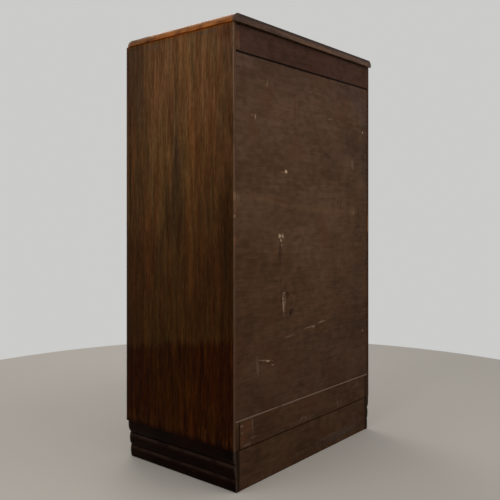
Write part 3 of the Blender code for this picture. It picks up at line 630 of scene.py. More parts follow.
def case_walnut(name, shift, height_ramp, clouds, inner_x):
    """Upright veneer on the case, with painted shade towards the foot and a painted sheen at the head.

    Redder and greener bands and smoky clouds lie over the figure, and clouds of painted shade lie
    along the rear edge. Under a slanting line the foot is painted darker and redder, a painted
    reflection of the floor, with flecks rubbed pale low down and painted shade along the very edge.
    Just under the top is a strip of painted light, brighter and redder. The inner faces are paler.
    """
    finish, place = begin_finish(name, 0.02)
    figure = veneer(place, "Z", shift)
    pores = place.streaks(grain_size("Z", 0.0011, 0.022), 1.0)
    smoke = place.streaks((0.02, 0.02, 0.16), 3.0, (shift, 0, 0))
    hue = place.streaks((0.022, 0.022, 0.30), 2.0, (0, shift, 0)).ease(0.36, 0.64)
    rise = (place.z - CASE_BOTTOM) * (1 / (CASE_TOP - CASE_BOTTOM))
    inside = abs(place.x).ease(inner_x + 0.0008, inner_x + 0.0002)
    # Painted light: the tint by height is painted shade low down and a painted sheen high up.
    light_and_inner_tint = inside.blend((rise + (smoke - 0.5) * 0.10).ramp(*height_ramp), INNER_TINT)
    colour = walnut_colour(figure).tint(light_and_inner_tint)
    colour = hue.blend(colour.tint(GREEN_TINT), colour.tint(RED_TINT))
    # Painted reflection of the darker floor: below a slanting line the side is painted darker and
    # redder.
    line = place.z - place.y * FLOOR_REFLECTION_SLOPE
    line = line + (smoke - 0.5) * 0.07 + (figure - 0.5) * 0.06
    foot = line.ease(FLOOR_REFLECTION_LINE + 0.016, FLOOR_REFLECTION_LINE - 0.016) * (1 - inside)
    deep = (figure + (smoke - 0.5) * 0.6).ramp((0.34, FLOOR_REFLECTION_DEEP), (0.66, FLOOR_REFLECTION_GLOW))
    colour = foot.tinted(colour, deep)
    colour = clouded(place, colour, clouds, "Y", (smoke - 0.5) * 1.2)
    flame = figure.ease(0.44, 0.62) * (rise + (smoke - 0.5) * 0.08).ease(0.060, 0.0)
    colour = (flame * 0.5).blend(colour, FOOT_PALE)
    # Painted shade: the lowest strip of the side, over the plinth, is painted darker.
    bottom_shade = rise.ease(0.014, 0.002) * (1 - inside)
    colour = bottom_shade.tinted(colour, BOTTOM_EDGE_SHADE)
    # Painted light: a strip just under the top is painted brighter and redder, against the shade there.
    strip = rise.ease(0.9935, 0.9975) * (1 - inside)
    colour = strip.tinted(colour, UNDER_TOP_LIGHT)
    colour = rear_edge(place, colour, figure, rise)
    return end_finish(finish, colour, 0.46 - figure * 0.22, figure * 0.5 + pores * 0.5, 0.00012)


def post_mesh(name, side):
    """The post's section carried up its height as a grid of section points by heights.

    The section is a rectangle with one rounded corner. Its inner front stretch steps back by a
    hinge's depth between the heights where a hinge is let in.
    """
    low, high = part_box(name)
    inner = min(abs(low.x), abs(high.x))
    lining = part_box("rear_post_right")[1].x
    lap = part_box("side_panel_right")[0].y
    centre = np.array([HALF_WIDTH - POST_RADIUS, FRONT + POST_RADIUS])
    round_corner = centre + POST_RADIUS * quarter_turn(POST_STEPS)[::-1]
    rest = [(HALF_WIDTH, lap), (lining, lap), (lining, high.y), (inner, high.y)]
    hinge_side = [(inner, FRONT + HINGE_REACH), (inner, FRONT + HINGE_REACH), (inner, FRONT)]
    section = np.concatenate([round_corner, rest, hinge_side])
    stepped = np.arange(len(section)) >= len(section) - 2
    hinges = [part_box(f"hinge_right_{level}_post_leaf") for level in LEVELS]
    middles = [(a.z + b.z) / 2 for a, b in hinges]
    ends = [z + step for z in middles for step in (-HINGE_HALF, HINGE_HALF)]
    heights = np.array([low.z, *np.repeat(ends, 2), high.z])
    let_in = np.arange(len(heights)) % 4 >= 2  # between a hinge's ends, which each stand twice
    points = np.empty((len(heights), len(section), 3))
    points[:, :, :2] = section
    points[:, :, 0] += MORTISE_DEPTH * let_in[:, None] * stepped
    points[:, :, 2] = heights[:, None]
    points[:, :, 0] *= side
    return grid_mesh(f"{name}_rounded", points, wrap=True)


SIDE_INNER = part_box("side_panel_right")[0].x
SIDE_WALNUT = case_walnut("walnut_sides", 0.0, SIDE_LIGHT_RAMP, SIDE_CLOUDS, SIDE_INNER)
POST_WALNUT = case_walnut("walnut_posts", 7.3, POST_LIGHT_RAMP, POST_CLOUDS, 0.0)
for hand, side in HANDS.items():
    soften(f"side_panel_{hand}", 0.0010)
    dress(SIDE_WALNUT, f"side_panel_{hand}")
    post = f"front_post_{hand}"
    new_piece(post_mesh(post, side), "case", POST_WALNUT, "walnut_veneer", post)

# The back: two rails between the rear posts, and a thin panel nailed into the rebate between them.
# All of it is cheap timber under a dull brown stain, with chips, scratches and scuffs of long use.
PANEL_LOW, PANEL_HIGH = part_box("back_panel")
POST_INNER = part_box("rear_post_right")[0].x
STAIN_DEEP = (0.050, 0.0245, 0.0128)
STAIN_PALE = (0.090, 0.0465, 0.0260)
STAIN_RED = (0.072, 0.0290, 0.0130)
UPPER_RAIL_TINT = (0.66, 0.61, 0.72)
POST_FOOT_TINT = (0.60, 0.52, 0.44)
LOWER_RAIL_TINT = (0.84, 0.80, 0.72)
POST_RED = (0.100, 0.0370, 0.0165)
RAIL_WEAR_AND_HIGHLIGHT = (0.190, 0.125, 0.092)
GRIME_AND_SHADOW = (0.0030, 0.0015, 0.0010)
CHIP_CREAM = (0.46, 0.33, 0.21)
CHIP_PINK = (0.25, 0.165, 0.115)
CHIP_ORANGE = (0.20, 0.095, 0.040)
PANEL_WARM = (0.125, 0.066, 0.034)
SMUDGE_DARK = (0.016, 0.008, 0.005)
SCUFF_BROWN = (0.135, 0.086, 0.058)
SCUFF_GREY = (0.058, 0.047, 0.042)
# Painted light on the panel: darker towards the bottom as painted shade, paler and bluer up high.
PANEL_LIGHT_RAMP = (
    # share of the panel's height, and the tint there
    (0.00, (0.88, 0.86, 0.86)),
    (0.16, (0.92, 0.91, 0.90)),
    (0.30, (1.00, 0.98, 0.94)),
    (0.44, (1.14, 1.16, 1.11)),
    (0.66, (1.15, 1.18, 1.18)),
    (0.86, (1.16, 1.23, 1.30)),
    (1.00, (1.00, 1.04, 1.20)),
)
PANEL_CLOUDS = (
    # middle x and z, half width and half height, tint, strength
    (-0.310, 0.580, 0.050, 0.180, (0.84, 0.84, 0.86), 0.8),
    (-0.328, 0.960, 0.022, 0.210, (0.66, 0.76, 0.88), 0.8),
    (-0.200, 0.240, 0.120, 0.060, (0.88, 0.88, 0.88), 0.8),
    (-0.185, 0.935, 0.110, 0.060, (0.75, 0.74, 0.75), 0.8),
    (-0.262, 0.865, 0.050, 0.060, (0.74, 0.73, 0.72), 0.9),
    (-0.230, 1.145, 0.110, 0.026, (0.76, 0.78, 0.80), 0.8),
    (-0.290, 1.125, 0.040, 0.060, (0.82, 0.88, 0.92), 0.8),
    (-0.270, 0.520, 0.045, 0.060, (0.82, 0.82, 0.82), 0.8),
    (-0.140, 0.405, 0.150, 0.034, (1.15, 1.14, 1.10), 0.8),
    (0.000, 0.500, 0.100, 0.160, (1.17, 1.20, 1.20), 0.8),
    (0.050, 0.660, 0.120, 0.060, (1.12, 1.15, 1.16), 0.8),
    (0.310, 0.500, 0.050, 0.150, (0.90, 0.87, 0.84), 0.8),
    (0.290, 0.540, 0.060, 0.035, (0.86, 0.84, 0.84), 0.8),
    (0.260, 0.690, 0.060, 0.045, (0.88, 0.86, 0.86), 0.8),
    (0.060, 0.830, 0.150, 0.035, (1.12, 1.13, 1.12), 0.7),
    (0.060, 0.965, 0.070, 0.028, (0.90, 0.90, 0.90), 0.8),
    (0.170, 1.030, 0.090, 0.035, (1.08, 1.00, 0.96), 0.7),
)
PANEL_MARKS = (
    # middle x and z, half width, half height, turn in degrees, colour, strength
    (0.230, 0.783, 0.140, 0.012, -2, PANEL_WARM, 0.42),
    (-0.030, 0.757, 0.180, 0.014, -3, PANEL_WARM, 0.42),
    (0.140, 0.777, 0.060, 0.006, -8, STAIN_RED, 0.55),
    (0.337, 0.780, 0.012, 0.024, 0, PANEL_WARM, 0.70),
    (0.334, 0.784, 0.012, 0.007, -8, SCUFF_BROWN, 0.35),
    (-0.250, 0.748, 0.026, 0.016, 0, PANEL_WARM, 0.62),
    (-0.258, 0.745, 0.003, 0.006, 0, CHIP_CREAM, 0.35),
    (0.078, 1.045, 0.008, 0.048, 0, STAIN_RED, 0.55),
    (0.058, 1.045, 0.006, 0.048, 0, STAIN_RED, 0.45),
    (0.121, 0.862, 0.006, 0.006, 0, CHIP_CREAM, 0.9),
    (0.138, 0.860, 0.009, 0.0035, 6, CHIP_ORANGE, 0.6),
    (0.150, 0.6760, 0.0080, 0.0065, 0, CHIP_CREAM, 0.75),
    (0.137, 0.6770, 0.0036, 0.0085, 0, CHIP_CREAM, 0.7),
    (0.146, 0.6645, 0.0046, 0.0055, 0, CHIP_CREAM, 0.65),
    (0.142, 0.648, 0.0030, 0.006, 0, CHIP_PINK, 0.5),
    (0.151, 0.625, 0.005, 0.040, 0, SMUDGE_DARK, 0.55),
    (0.147, 0.545, 0.004, 0.030, 0, SMUDGE_DARK, 0.30),
    (0.055, 0.578, 0.014, 0.007, 10, SMUDGE_DARK, 0.4),
    (0.113, 0.503, 0.008, 0.012, -20, SMUDGE_DARK, 0.55),
    (0.096, 0.451, 0.013, 0.009, 30, SMUDGE_DARK, 0.75),
    (0.141, 0.488, 0.004, 0.030, 0, SMUDGE_DARK, 0.4),
    (0.1355, 0.487, 0.0036, 0.026, 1, CHIP_PINK, 0.95),
    (0.1330, 0.468, 0.0036, 0.018, 2, CHIP_PINK, 0.8),
    (0.1265, 0.484, 0.0022, 0.018, 0, CHIP_PINK, 0.6),
    (0.128, 0.512, 0.0040, 0.0035, 0, CHIP_PINK, 0.55),
    (-0.064, 0.4035, 0.026, 0.0017, 4, CHIP_PINK, 0.75),
    (0.002, 0.3950, 0.034, 0.0017, 3, CHIP_PINK, 0.65),
    (-0.020, 0.3935, 0.007, 0.0032, 0, CHIP_PINK, 0.7),
    (0.108, 0.3815, 0.028, 0.0016, 4, CHIP_PINK, 0.40),
    (0.215, 0.3290, 0.028, 0.0017, -11, CHIP_PINK, 0.60),
    (0.206, 0.3262, 0.007, 0.0026, -8, CHIP_CREAM, 0.5),
    (0.184, 0.3120, 0.008, 0.0026, -12, CHIP_PINK, 0.7),
    (0.252, 0.3170, 0.0065, 0.028, 4, SCUFF_BROWN, 0.50),
    (0.211, 1.105, 0.003, 0.012, 0, CHIP_ORANGE, 0.6),
    (0.207, 1.107, 0.002, 0.008, 0, SCUFF_BROWN, 0.7),
    (0.262, 1.006, 0.003, 0.008, 10, CHIP_PINK, 0.8),
    (0.276, 1.010, 0.004, 0.004, 0, CHIP_ORANGE, 0.6),
    (-0.112, 1.042, 0.009, 0.0022, 5, SCUFF_BROWN, 0.9),
    (-0.005, 1.112, 0.007, 0.0022, 0, SCUFF_BROWN, 0.6),
    (-0.250, 0.905, 0.008, 0.018, 5, SCUFF_BROWN, 0.62),
    (-0.150, 0.775, 0.003, 0.040, 0, SCUFF_BROWN, 0.35),
    (-0.166, 0.775, 0.003, 0.034, 0, SCUFF_BROWN, 0.25),
)
RAIL_MARKS = (
    (0.300, 0.1668, 0.030, 0.018, 0, POST_RED, 0.45),
    (0.316, 0.1308, 0.020, 0.018, 0, POST_RED, 0.45),
    (0.277, 0.1648, 0.0034, 0.020, 0, RAIL_WEAR_AND_HIGHLIGHT, 0.36),
    (0.322, 0.1713, 0.005, 0.0036, 0, RAIL_WEAR_AND_HIGHLIGHT, 0.70),
    (0.321, 0.1528, 0.008, 0.0030, 0, RAIL_WEAR_AND_HIGHLIGHT, 0.42),
    (0.300, 0.1168, 0.020, 0.0040, 3, SCUFF_BROWN, 0.50),
    (0.275, 0.1308, 0.014, 0.0034, 0, SCUFF_BROWN, 0.36),
    (0.048, 0.1258, 0.016, 0.0052, 35, SCUFF_BROWN, 0.50),
    (0.026, 0.1238, 0.014, 0.0070, -22, SCUFF_BROWN, 0.30),
    (-0.004, 0.1198, 0.016, 0.0046, 24, SCUFF_BROWN, 0.26),
    (-0.154, 0.1288, 0.005, 0.013, 12, SCUFF_BROWN, 0.40),
    (-0.178, 0.1308, 0.004, 0.010, -10, SCUFF_BROWN, 0.30),
    (-0.262, 0.1628, 0.026, 0.003, 12, SCUFF_BROWN, 0.40),
    (-0.100, 0.035, 0.060, 0.006, 3, SCUFF_BROWN, 0.22),
    (-0.170, 0.026, 0.130, 0.012, 2, SCUFF_GREY, 0.40),
)
POST_MARKS = (
    # Painted shadow under the top at the near corner.
    (0.330, 1.2450, 0.024, 0.0045, 0, GRIME_AND_SHADOW, 0.80),
    (0.338, 1.214, 0.020, 0.013, 0, POST_RED, 0.50),
    (0.338, 1.190, 0.020, 0.014, 0, PANEL_WARM, 0.50),
)
UPPER_RAIL_FADE = ((0.0, UPPER_RAIL_TINT), (1.0, UPPER_RAIL_TINT))
LOWER_RAIL_FADE = ((0.0, LOWER_RAIL_TINT), (1.0, LOWER_RAIL_TINT))
POST_BACK_FADE = (
    (0.000, POST_FOOT_TINT),
    (0.012, LOWER_RAIL_TINT),
    (0.960, LOWER_RAIL_TINT),
    (1.000, UPPER_RAIL_TINT),
)


def marked(place, colour, marks):
    """Lays ragged spots on a colour, one over the other."""
    ragged = (place.speckle(0.005, 4.0) - 0.5) * 2.4
    for x, z, half_width, half_height, turn, tone, strength in marks:
        away = spot(place, (x, 0, z), (half_width, FAR, half_height), turn, ragged)
        colour = (away.ease(1.15, 0.60) * strength).blend(colour, tone)
    return colour


def stained_finish(name, axis, height_ramp, marks, clouds=(), highlight_line_z=None, seam_x=None, shadow_line_z=None):
    """A dull stain over coarse timber, darker and paler in broad clouds, with the marks of use on it.

    Its tint changes with the share of the panel's height. A pale line, a painted highlight, may run
    along an arris at one height, with grime in an upright seam under it, and a painted shadow line
    under another height.
    """
    finish, place = begin_finish(name, 0.03)
    dirt = place.streaks(grain_size(axis, 0.11, 0.17), 4.0)
    mottle = place.streaks(grain_size(axis, 0.018, 0.030), 3.0)
    streaks = place.streaks(grain_size(axis, 0.008, 0.12), 2.0)
    threads = place.streaks(grain_size(axis, 0.0022, 0.04), 2.0)
    tone = dirt * 0.36 + mottle * 0.32 + streaks * 0.18 + threads * 0.14
    colour = tone.ease(0.37, 0.63).blend(STAIN_DEEP, STAIN_PALE)
    colour = (place.speckle(0.10, 3.0).ease(0.52, 0.70) * 0.45).blend(colour, STAIN_RED)
    height = place.z
    share = (height - PANEL_LOW.z) * (1 / (PANEL_HIGH.z - PANEL_LOW.z))
    colour = colour.tint((share + (dirt - 0.5) * 0.25).ramp(*height_ramp))
    colour = clouded(place, colour, clouds, "X", (dirt - 0.5) * 1.6)
    outer = place.y.ease(PANEL_LOW.y + 0.0010, PANEL_LOW.y + 0.0020)
    colour = outer.blend(colour, marked(place, colour, marks))
    if highlight_line_z is not None:
        # Painted highlight: a pale line along the rail's upper arris, and across the posts at that
        # height.
        breakup = place.streaks((0.06, 0.06, 0.01), 3.0)
        edge = height.ease(highlight_line_z - 0.0042, highlight_line_z - 0.0020)
        edge = edge * height.ease(highlight_line_z + 0.0030, highlight_line_z + 0.0010)
        colour = (edge * breakup.ease(0.22, 0.42) * 0.85).blend(colour, RAIL_WEAR_AND_HIGHLIGHT)
    if seam_x is not None:
        strip = abs(place.x).ease(seam_x + 0.0060, seam_x + 0.0020)
        strip = strip * height.ease(highlight_line_z - 0.004, highlight_line_z - 0.012)
        colour = (strip * 0.75).blend(colour, GRIME_AND_SHADOW)
    # Painted shadow: a dark line under another part's edge.
    if shadow_line_z is not None:
        waver = (place.streaks((0.12, 0.12, 0.12), 2.0) - 0.5) * 0.004
        painted_shadow = (height + waver).ease(shadow_line_z - 0.0070, shadow_line_z - 0.0030)
        colour = (painted_shadow * 0.9).blend(colour, GRIME_AND_SHADOW)
    return end_finish(finish, colour, 0.70 - tone * 0.16, threads * 0.6 + streaks * 0.4, 0.0004)


# Painted shadows: on the panel under the upper rail, and on the upper rail under the top.
PANEL_STAIN = stained_finish(
    "stained_panel", "X", PANEL_LIGHT_RAMP, PANEL_MARKS, PANEL_CLOUDS, shadow_line_z=PANEL_HIGH.z
)
UPPER_RAIL_STAIN = stained_finish(
    "stained_upper_rail", "X", UPPER_RAIL_FADE, (), shadow_line_z=CASE_TOP + 0.002
)
LOWER_RAIL_STAIN = stained_finish(
    "stained_lower_rail", "X", LOWER_RAIL_FADE, RAIL_MARKS, highlight_line_z=PANEL_LOW.z
)
POST_STAIN = stained_finish(
    "stained_posts", "Z", POST_BACK_FADE, POST_MARKS, highlight_line_z=PANEL_LOW.z, seam_x=POST_INNER
)
dress(PANEL_STAIN, "back_panel")
dress(UPPER_RAIL_STAIN, "back_rail_upper")
dress(LOWER_RAIL_STAIN, "back_rail_lower", "plinth_back")
dress(POST_STAIN, "rear_post_left", "rear_post_right")
for name in ("back_rail_upper", "back_rail_lower", "plinth_back", "rear_post_left", "rear_post_right"):
    soften(name, 0.0009)

# The panel's pins: round brass heads, dulled to brown, about a hand apart along its four edges. Two
# at one side are later ones with broader heads, and still bright.
PIN_RADIUS = 0.0021
PIN_RISE = 0.0005
PIN_STEPS = 10  # points round a head
PIN_EDGE = 0.0058  # in from the panel's upper and lower edges
PIN_SIDE = 0.0145  # in from its side edges
PIN_CORNER = 0.062  # from its side edges to the first of the upper and lower rows
PIN_PITCH = 0.113
FIRST_PIN = 0.229  # height of the lowest one at the sides
PINS_UP = 9
PINS_ACROSS = 6
LATER_ONES = (1, 7)
LATER_RADIUS = 0.0034
LATER_PIN = 0.014  # the later ones' place, in from the others


def turned_points(radius, y, steps):
    """Rings of points about the Y axis, each with a radius and a place along the axis."""
    angle = np.linspace(0, 2 * math.pi, steps, endpoint=False)
    points = np.empty((len(radius), steps, 3))
    points[..., 0] = np.outer(radius, np.cos(angle))
    points[..., 1] = y[:, None]
    points[..., 2] = np.outer(radius, np.sin(angle))
    return points


def pin_heads(name, x, z, radius):
    """Small domes on the panel: rings of a radius and rise, turned about each place."""
    ring = np.array([(0.06, -1.0), (1.0, -1.0), (1.0, 0.0), (0.84, 0.55), (0.50, 0.86), (0.08, 1.0)])
    dome = turned_points(radius * ring[:, 0], PANEL_HIGH.y + PIN_RISE * ring[:, 1], PIN_STEPS)
    centres = np.column_stack([x, np.zeros_like(x), z])
    return grid_mesh(name, centres[:, None, None, :] + dome, wrap=True)


def pin_finish(name, dull, bright):
    """Half-metallic and rough, a duller colour over a brighter one in small spots."""
    finish, place = begin_finish(name, 0.2, 0.6)
    tarnish = place.speckle(0.004, 2.0).ease(0.40, 0.65)
    return end_finish(finish, tarnish.blend(dull, bright), 0.62 - tarnish * 0.2)


upright = FIRST_PIN + PIN_PITCH * np.arange(PINS_UP)
later = np.isin(np.arange(PINS_UP), LATER_ONES)
across = np.linspace(PANEL_LOW.x + PIN_CORNER, PANEL_HIGH.x - PIN_CORNER, PINS_ACROSS)
lower_row = np.full(PINS_ACROSS, PANEL_LOW.z + PIN_EDGE)
upper_row = np.full(PINS_ACROSS, PANEL_HIGH.z - PIN_EDGE)
edge_x = PANEL_HIGH.x - PIN_SIDE
side_x = np.repeat([-edge_x, edge_x], [PINS_UP - len(LATER_ONES), PINS_UP])
pin_x = np.concatenate([side_x, across, across])
pin_z = np.concatenate([upright[~later], upright, lower_row, upper_row])
pins = pin_heads("back_panel_pins", pin_x, pin_z, PIN_RADIUS)
new_piece(pins, "case", pin_finish("dulled_pins", GRIME_AND_SHADOW, STAIN_PALE), "brass")
later_x = np.full(len(LATER_ONES), LATER_PIN - edge_x)
pins = pin_heads("back_panel_later_pins", later_x, upright[later], LATER_RADIUS)
new_piece(pins, "case", pin_finish("bright_pins", CHIP_PINK, CHIP_CREAM), "brass")

# The top: a board veneered like the sides, with a solid walnut lipping moulded to a quarter round
# along its sides and front. The lipping is redder and its round paler; its lower edge is painted
# brighter as light, and its top and front darker as shade.
TOP_LOW, TOP_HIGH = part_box("top_lipping")
TOP_RADIUS = 0.045
LIPPING_WIDTH = 0.019
LIPPING_ROUND = 0.017
LIPPING_FLAT = 0.0045
LIPPING_UNDERCUT = 0.0015
LIPPING_DARK = (0.096, 0.0320, 0.0080)
LIPPING_PALE = (0.275, 0.1000, 0.0245)
LIPPING_ROUND_PALE = (0.170, 0.0900, 0.0470)
LIPPING_FRONT_SHADE = (0.48, 0.56, 0.76)  # painted shade towards the front corners
LIPPING_SHADE = (0.046, 0.0260, 0.0140)
END_GRAIN = (0.034, 0.0190, 0.0130)
END_BROWN = (0.062, 0.0370, 0.0250)
SAWN_BROWN = (0.110, 0.0540, 0.0310)
TOP_TINT = (0.80, 0.76, 0.70)


def lipping_profile():
    """Out along the underside, up the edge, over a quarter ellipse and in along the top."""
    flat_top = TOP_LOW.z + LIPPING_FLAT
    under = [(LIPPING_WIDTH, TOP_LOW.z), (LIPPING_UNDERCUT, TOP_LOW.z)]
    under += [(0, TOP_LOW.z + LIPPING_UNDERCUT)]
    angle = np.linspace(0, math.pi / 2, 16)
    recess = LIPPING_ROUND * (1 - np.cos(angle))
    rise = flat_top + (TOP_HIGH.z - flat_top) * np.sin(angle)
    over = np.column_stack([recess, rise])
    return np.concatenate([under, over, [(LIPPING_WIDTH, TOP_HIGH.z)]])


def lipping_finish():
    """Red-brown walnut with its grain along the moulding, patchy, with painted shade at the front.

    The lower edge is painted brighter and redder as light, the round is paler, and its top is painted
    dark as shade, which comes further down at the front. The rear ends show dark end grain.
    """
    finish, place = begin_finish("walnut_lipping", 0.08)
    along = place.node("ShaderNodeUVMap", {"uv_map": "along"}, {})
    streaks = along.streaks((0.12, 0.004, 1.0), 3.0)
    threads = along.streaks((0.04, 0.0012, 1.0), 2.0)
    patches = along.streaks((0.045, 0.014, 1.0), 3.0)
    tone = (streaks * 0.30 + threads * 0.20 + patches * 0.50).ease(0.38, 0.60)
    ragged = (streaks - 0.5) * 0.008
    colour = tone.blend(LIPPING_DARK, LIPPING_PALE)
    # Painted shade towards the front corners.
    front_shade = place.y.ease(TOP_LOW.y + 0.210, TOP_LOW.y + 0.050)
    colour = front_shade.tinted(colour, LIPPING_FRONT_SHADE)
    # Painted light: the lipping's lower edge is painted brighter and redder, against the shade there.
    under = place.z.ease(TOP_LOW.z + 0.0030, TOP_LOW.z + 0.0010)
    colour = under.tinted(colour, UNDER_TOP_LIGHT)
    height = place.z + ragged
    pale_band = height.ease(TOP_LOW.z + 0.0110, TOP_LOW.z + 0.0150) * patches.ease(0.28, 0.60)
    colour = (pale_band * 0.85).blend(colour, LIPPING_ROUND_PALE)
    # Painted shade: the top of the round is painted dark, further down at the front.
    top_shade = (height + front_shade * 0.007).ease(TOP_LOW.z + 0.0180, TOP_LOW.z + 0.0215)
    colour = (top_shade * 0.85).blend(colour, LIPPING_SHADE)
    end_grain = (place.y + ragged).ease(TOP_HIGH.y - 0.0140, TOP_HIGH.y - 0.0020)
    colour = end_grain.blend(colour, END_BROWN)
    return end_finish(finish, colour, 0.42 - tone * 0.10, threads, 0.0002)


def top_finish():
    """Veneer with its grain across the piece; the sawn rear edge is dark above and brown below."""
    finish, place = begin_finish("walnut_top", 0.10)
    figure = veneer(place, "X", 3.1)
    colour = walnut_colour(figure).tint(TOP_TINT)
    height = place.z.ease(TOP_LOW.z + 0.011, TOP_LOW.z + 0.016)
    middle = abs(place.x - TOP_HIGH.x).ease(0.0, 0.22)
    sawn = (figure.ease(0.40, 0.60) * (0.45 + middle * 0.55)).blend(END_GRAIN, SAWN_BROWN)
    sawn = height.blend(sawn, END_GRAIN)
    rear = place.y.ease(TOP_HIGH.y - 0.0014, TOP_HIGH.y - 0.0005)
    return end_finish(finish, rear.blend(colour, sawn), 0.50 - figure * 0.22, figure, 0.00012)


LIPPING = lipping_finish()
TOP_WALNUT = top_finish()
right_route, right_outward = side_route(TOP_HIGH.x, TOP_LOW.y, TOP_HIGH.y, TOP_RADIUS)
mirror = np.array([-1.0, 1.0])
whole_route = np.concatenate([right_route, right_route[::-1] * mirror])
whole_outward = np.concatenate([right_outward, right_outward[::-1] * mirror])
mesh = moulding_mesh("top_lipping_moulded", lipping_profile(), whole_route, whole_outward)
new_piece(mesh, "case", LIPPING, "walnut_lipping", "top_lipping")
dress(TOP_WALNUT, "top_board")
soften("top_board", 0.0008)

# The inside: runners, shelf, bearers and boards of plain beech, housed between the sides, and the
# rails across the front with veneered edges.
BEECH_DEEP = (0.300, 0.165, 0.075)
BEECH_PALE = (0.480, 0.300, 0.155)


def beech_finish(name, axis, pale=1.0):
    """Pale straight-grained wood with short dark flecks."""
    finish, place = begin_finish(name, 0.20)
    bands = place.streaks(grain_size(axis, 0.05, 0.9), 2.0)
    streaks = place.streaks(grain_size(axis, 0.006, 0.20), 3.0)
    flecks = place.streaks(grain_size(axis, 0.0012, 0.006), 1.0)
    tone = (bands * 0.5 + streaks * 0.5).ease(0.34, 0.66)
    deep = tuple(pale * c for c in BEECH_DEEP)
    colour = tone.blend(deep, tuple(pale * c for c in BEECH_PALE))
    colour = (flecks.ease(0.62, 0.70) * 0.4).blend(colour, deep)
    return end_finish(finish, colour, 0.62 - tone * 0.1, streaks, 0.0002)


BEECH_ACROSS = beech_finish("beech_across", "X")
BEECH_ALONG = beech_finish("beech_along", "Y")
PLYWOOD = beech_finish("plywood", "X", 1.12)
DRAWER_RAILS = [f"drawer_rail_{level}" for level in LEVELS]
VENEERED_EDGES = ("bottom_board", "cupboard_floor", "top_front_rail", *DRAWER_RAILS)
dress(BEECH_ACROSS, "shelf")
for hand in HANDS:
    runners = [f"drawer_runner_{level}_{hand}" for level in LEVELS]
    dress(BEECH_ALONG, f"shelf_bearer_{hand}", *runners)
dress(TOP_WALNUT, *VENEERED_EDGES)
for name in ("shelf", *VENEERED_EDGES):
    soften(name, 0.0006)

# The drawers: fronts faced with figured walnut inside a crossbanded border, lapped over beech sides
# with dovetails, and a plywood bottom in grooves. The grain runs on up from one front to the next.
DRAWERS = ("lower", "middle", "upper")
BAND_WIDTH = 0.022
BAND_LINE = 0.0007  # half the width of the dark line inside the border
FRONT_TINT = (0.82, 0.74, 0.64)
BAND_TINT = (0.62, 0.54, 0.46)
BARE_TINT = (0.62, 0.52, 0.44)
LINE_DARK = (0.008, 0.004, 0.002)
LAP_FRONT = 0.0058  # thickness of veneered front before the bare wood behind


def front_finish(name, low, high, inner_x=-1.0):
    """Flowing veneer opened like a book at the middle, so that the grain of both halves mirrors.

    The border is where the nearer edge is within its width; its grain runs square to that edge. A
    door has an inner edge beside the middle, and a drawer's front has none. Behind the face is
    plain wood.
    """
    finish, place = begin_finish(name, 0.12)
    mirrored = place.node("ShaderNodeVectorMath", {"operation": "ABSOLUTE"}, {0: place})
    flowing = mirrored.drift((0.13, 0.13, 0.24), 0.075).drift((0.035, 0.035, 0.08), 0.012)
    bands = flowing.streaks((0.026, 0.026, 0.50), 3.0, (11.7, 0, 0))
    streaks = flowing.streaks((0.0060, 0.0060, 0.11), 3.0, (4.1, 0, 0))
    glow = mirrored.speckle(0.09, 2.0)
    figure = bands * 0.50 + streaks * 0.30 + glow * 0.20
    colour = walnut_colour(figure, 0.38, 0.62).tint(FRONT_TINT)
    out, height = abs(place.x), place.z
    side = (out - inner_x).smaller(high.x - out)
    end = (height - low.z).smaller(high.z - height)
    lying = place.streaks((0.07, 0.02, 0.0045), 3.0)
    standing = place.streaks((0.0045, 0.02, 0.07), 3.0)
    across = (end - side).ease(-0.0003, 0.0003)
    band = across * lying + (1 - across) * standing
    edge = side.smaller(end)
    border = edge.ease(BAND_WIDTH + 0.0002, BAND_WIDTH - 0.0002)
    colour = border.blend(colour, walnut_colour(band, 0.36, 0.66).tint(BAND_TINT))
    line = abs(edge - BAND_WIDTH).ease(BAND_LINE * 1.3, BAND_LINE * 0.7)
    colour = line.blend(colour, LINE_DARK)
    plain = place.streaks((0.012, 0.02, 0.30), 3.0).ease(0.25, 0.75).blend(BEECH_DEEP, BEECH_PALE)
    behind = place.y.ease(low.y + LAP_FRONT, low.y + LAP_FRONT + 0.0008)
    colour = behind.blend(colour, plain.tint(BARE_TINT))
    return end_finish(finish, colour, 0.44 - figure * 0.22, streaks - line * 0.5, 0.00012)


for word in DRAWERS:
    low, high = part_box(f"drawer_{word}_front")
    dress(front_finish(f"walnut_front_{word}", low, high), f"drawer_{word}_front")
    soften(f"drawer_{word}_front", 0.0007)
    dress(BEECH_ALONG, *(f"drawer_{word}_side_{hand}" for hand in HANDS))
    dress(BEECH_ACROSS, f"drawer_{word}_back")
    dress(PLYWOOD, f"drawer_{word}_bottom")

# The doors: two flush boards that meet at the middle, each hung on a pair of butt hinges. They have
# the drawers' veneer and border, and their figure is matched over the meeting line.
low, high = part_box("door_right")
DOOR_WALNUT = front_finish("walnut_doors", low, high, low.x)
for hand in HANDS:
    dress(DOOR_WALNUT, f"door_{hand}")
    soften(f"door_{hand}", 0.0007)

# The knobs: turned from solid walnut, each a domed head on a waisted neck with a thin foot. A spigot
# behind the foot is glued into the front.
KNOB_REACH = 0.026
HEAD_RADIUS = 0.016
HEAD_MIDDLE = 0.017  # out from the front, as the next two are
NECK_MIDDLE = 0.008
FOOT_THICK = 0.002
RING_PLACE = 0.62  # share of the head's radius where a fine ring is cut
RING_HALF = 0.035  # half its width, as a share of the same
RING_DEPTH = 0.0004
KNOB_SEAT = 0.0002  # from the front to the underside of the foot
POLE_RADIUS = 0.0004  # of the small faces that close the ends
NECK_RADIUS = 0.0075
FOOT_RADIUS = 0.010
SPIGOT_RADIUS = 0.005
SPIGOT_LENGTH = 0.0118
KNOB_STEPS = 40  # points round it
KNOB_TINT = (0.62, 0.50, 0.40)


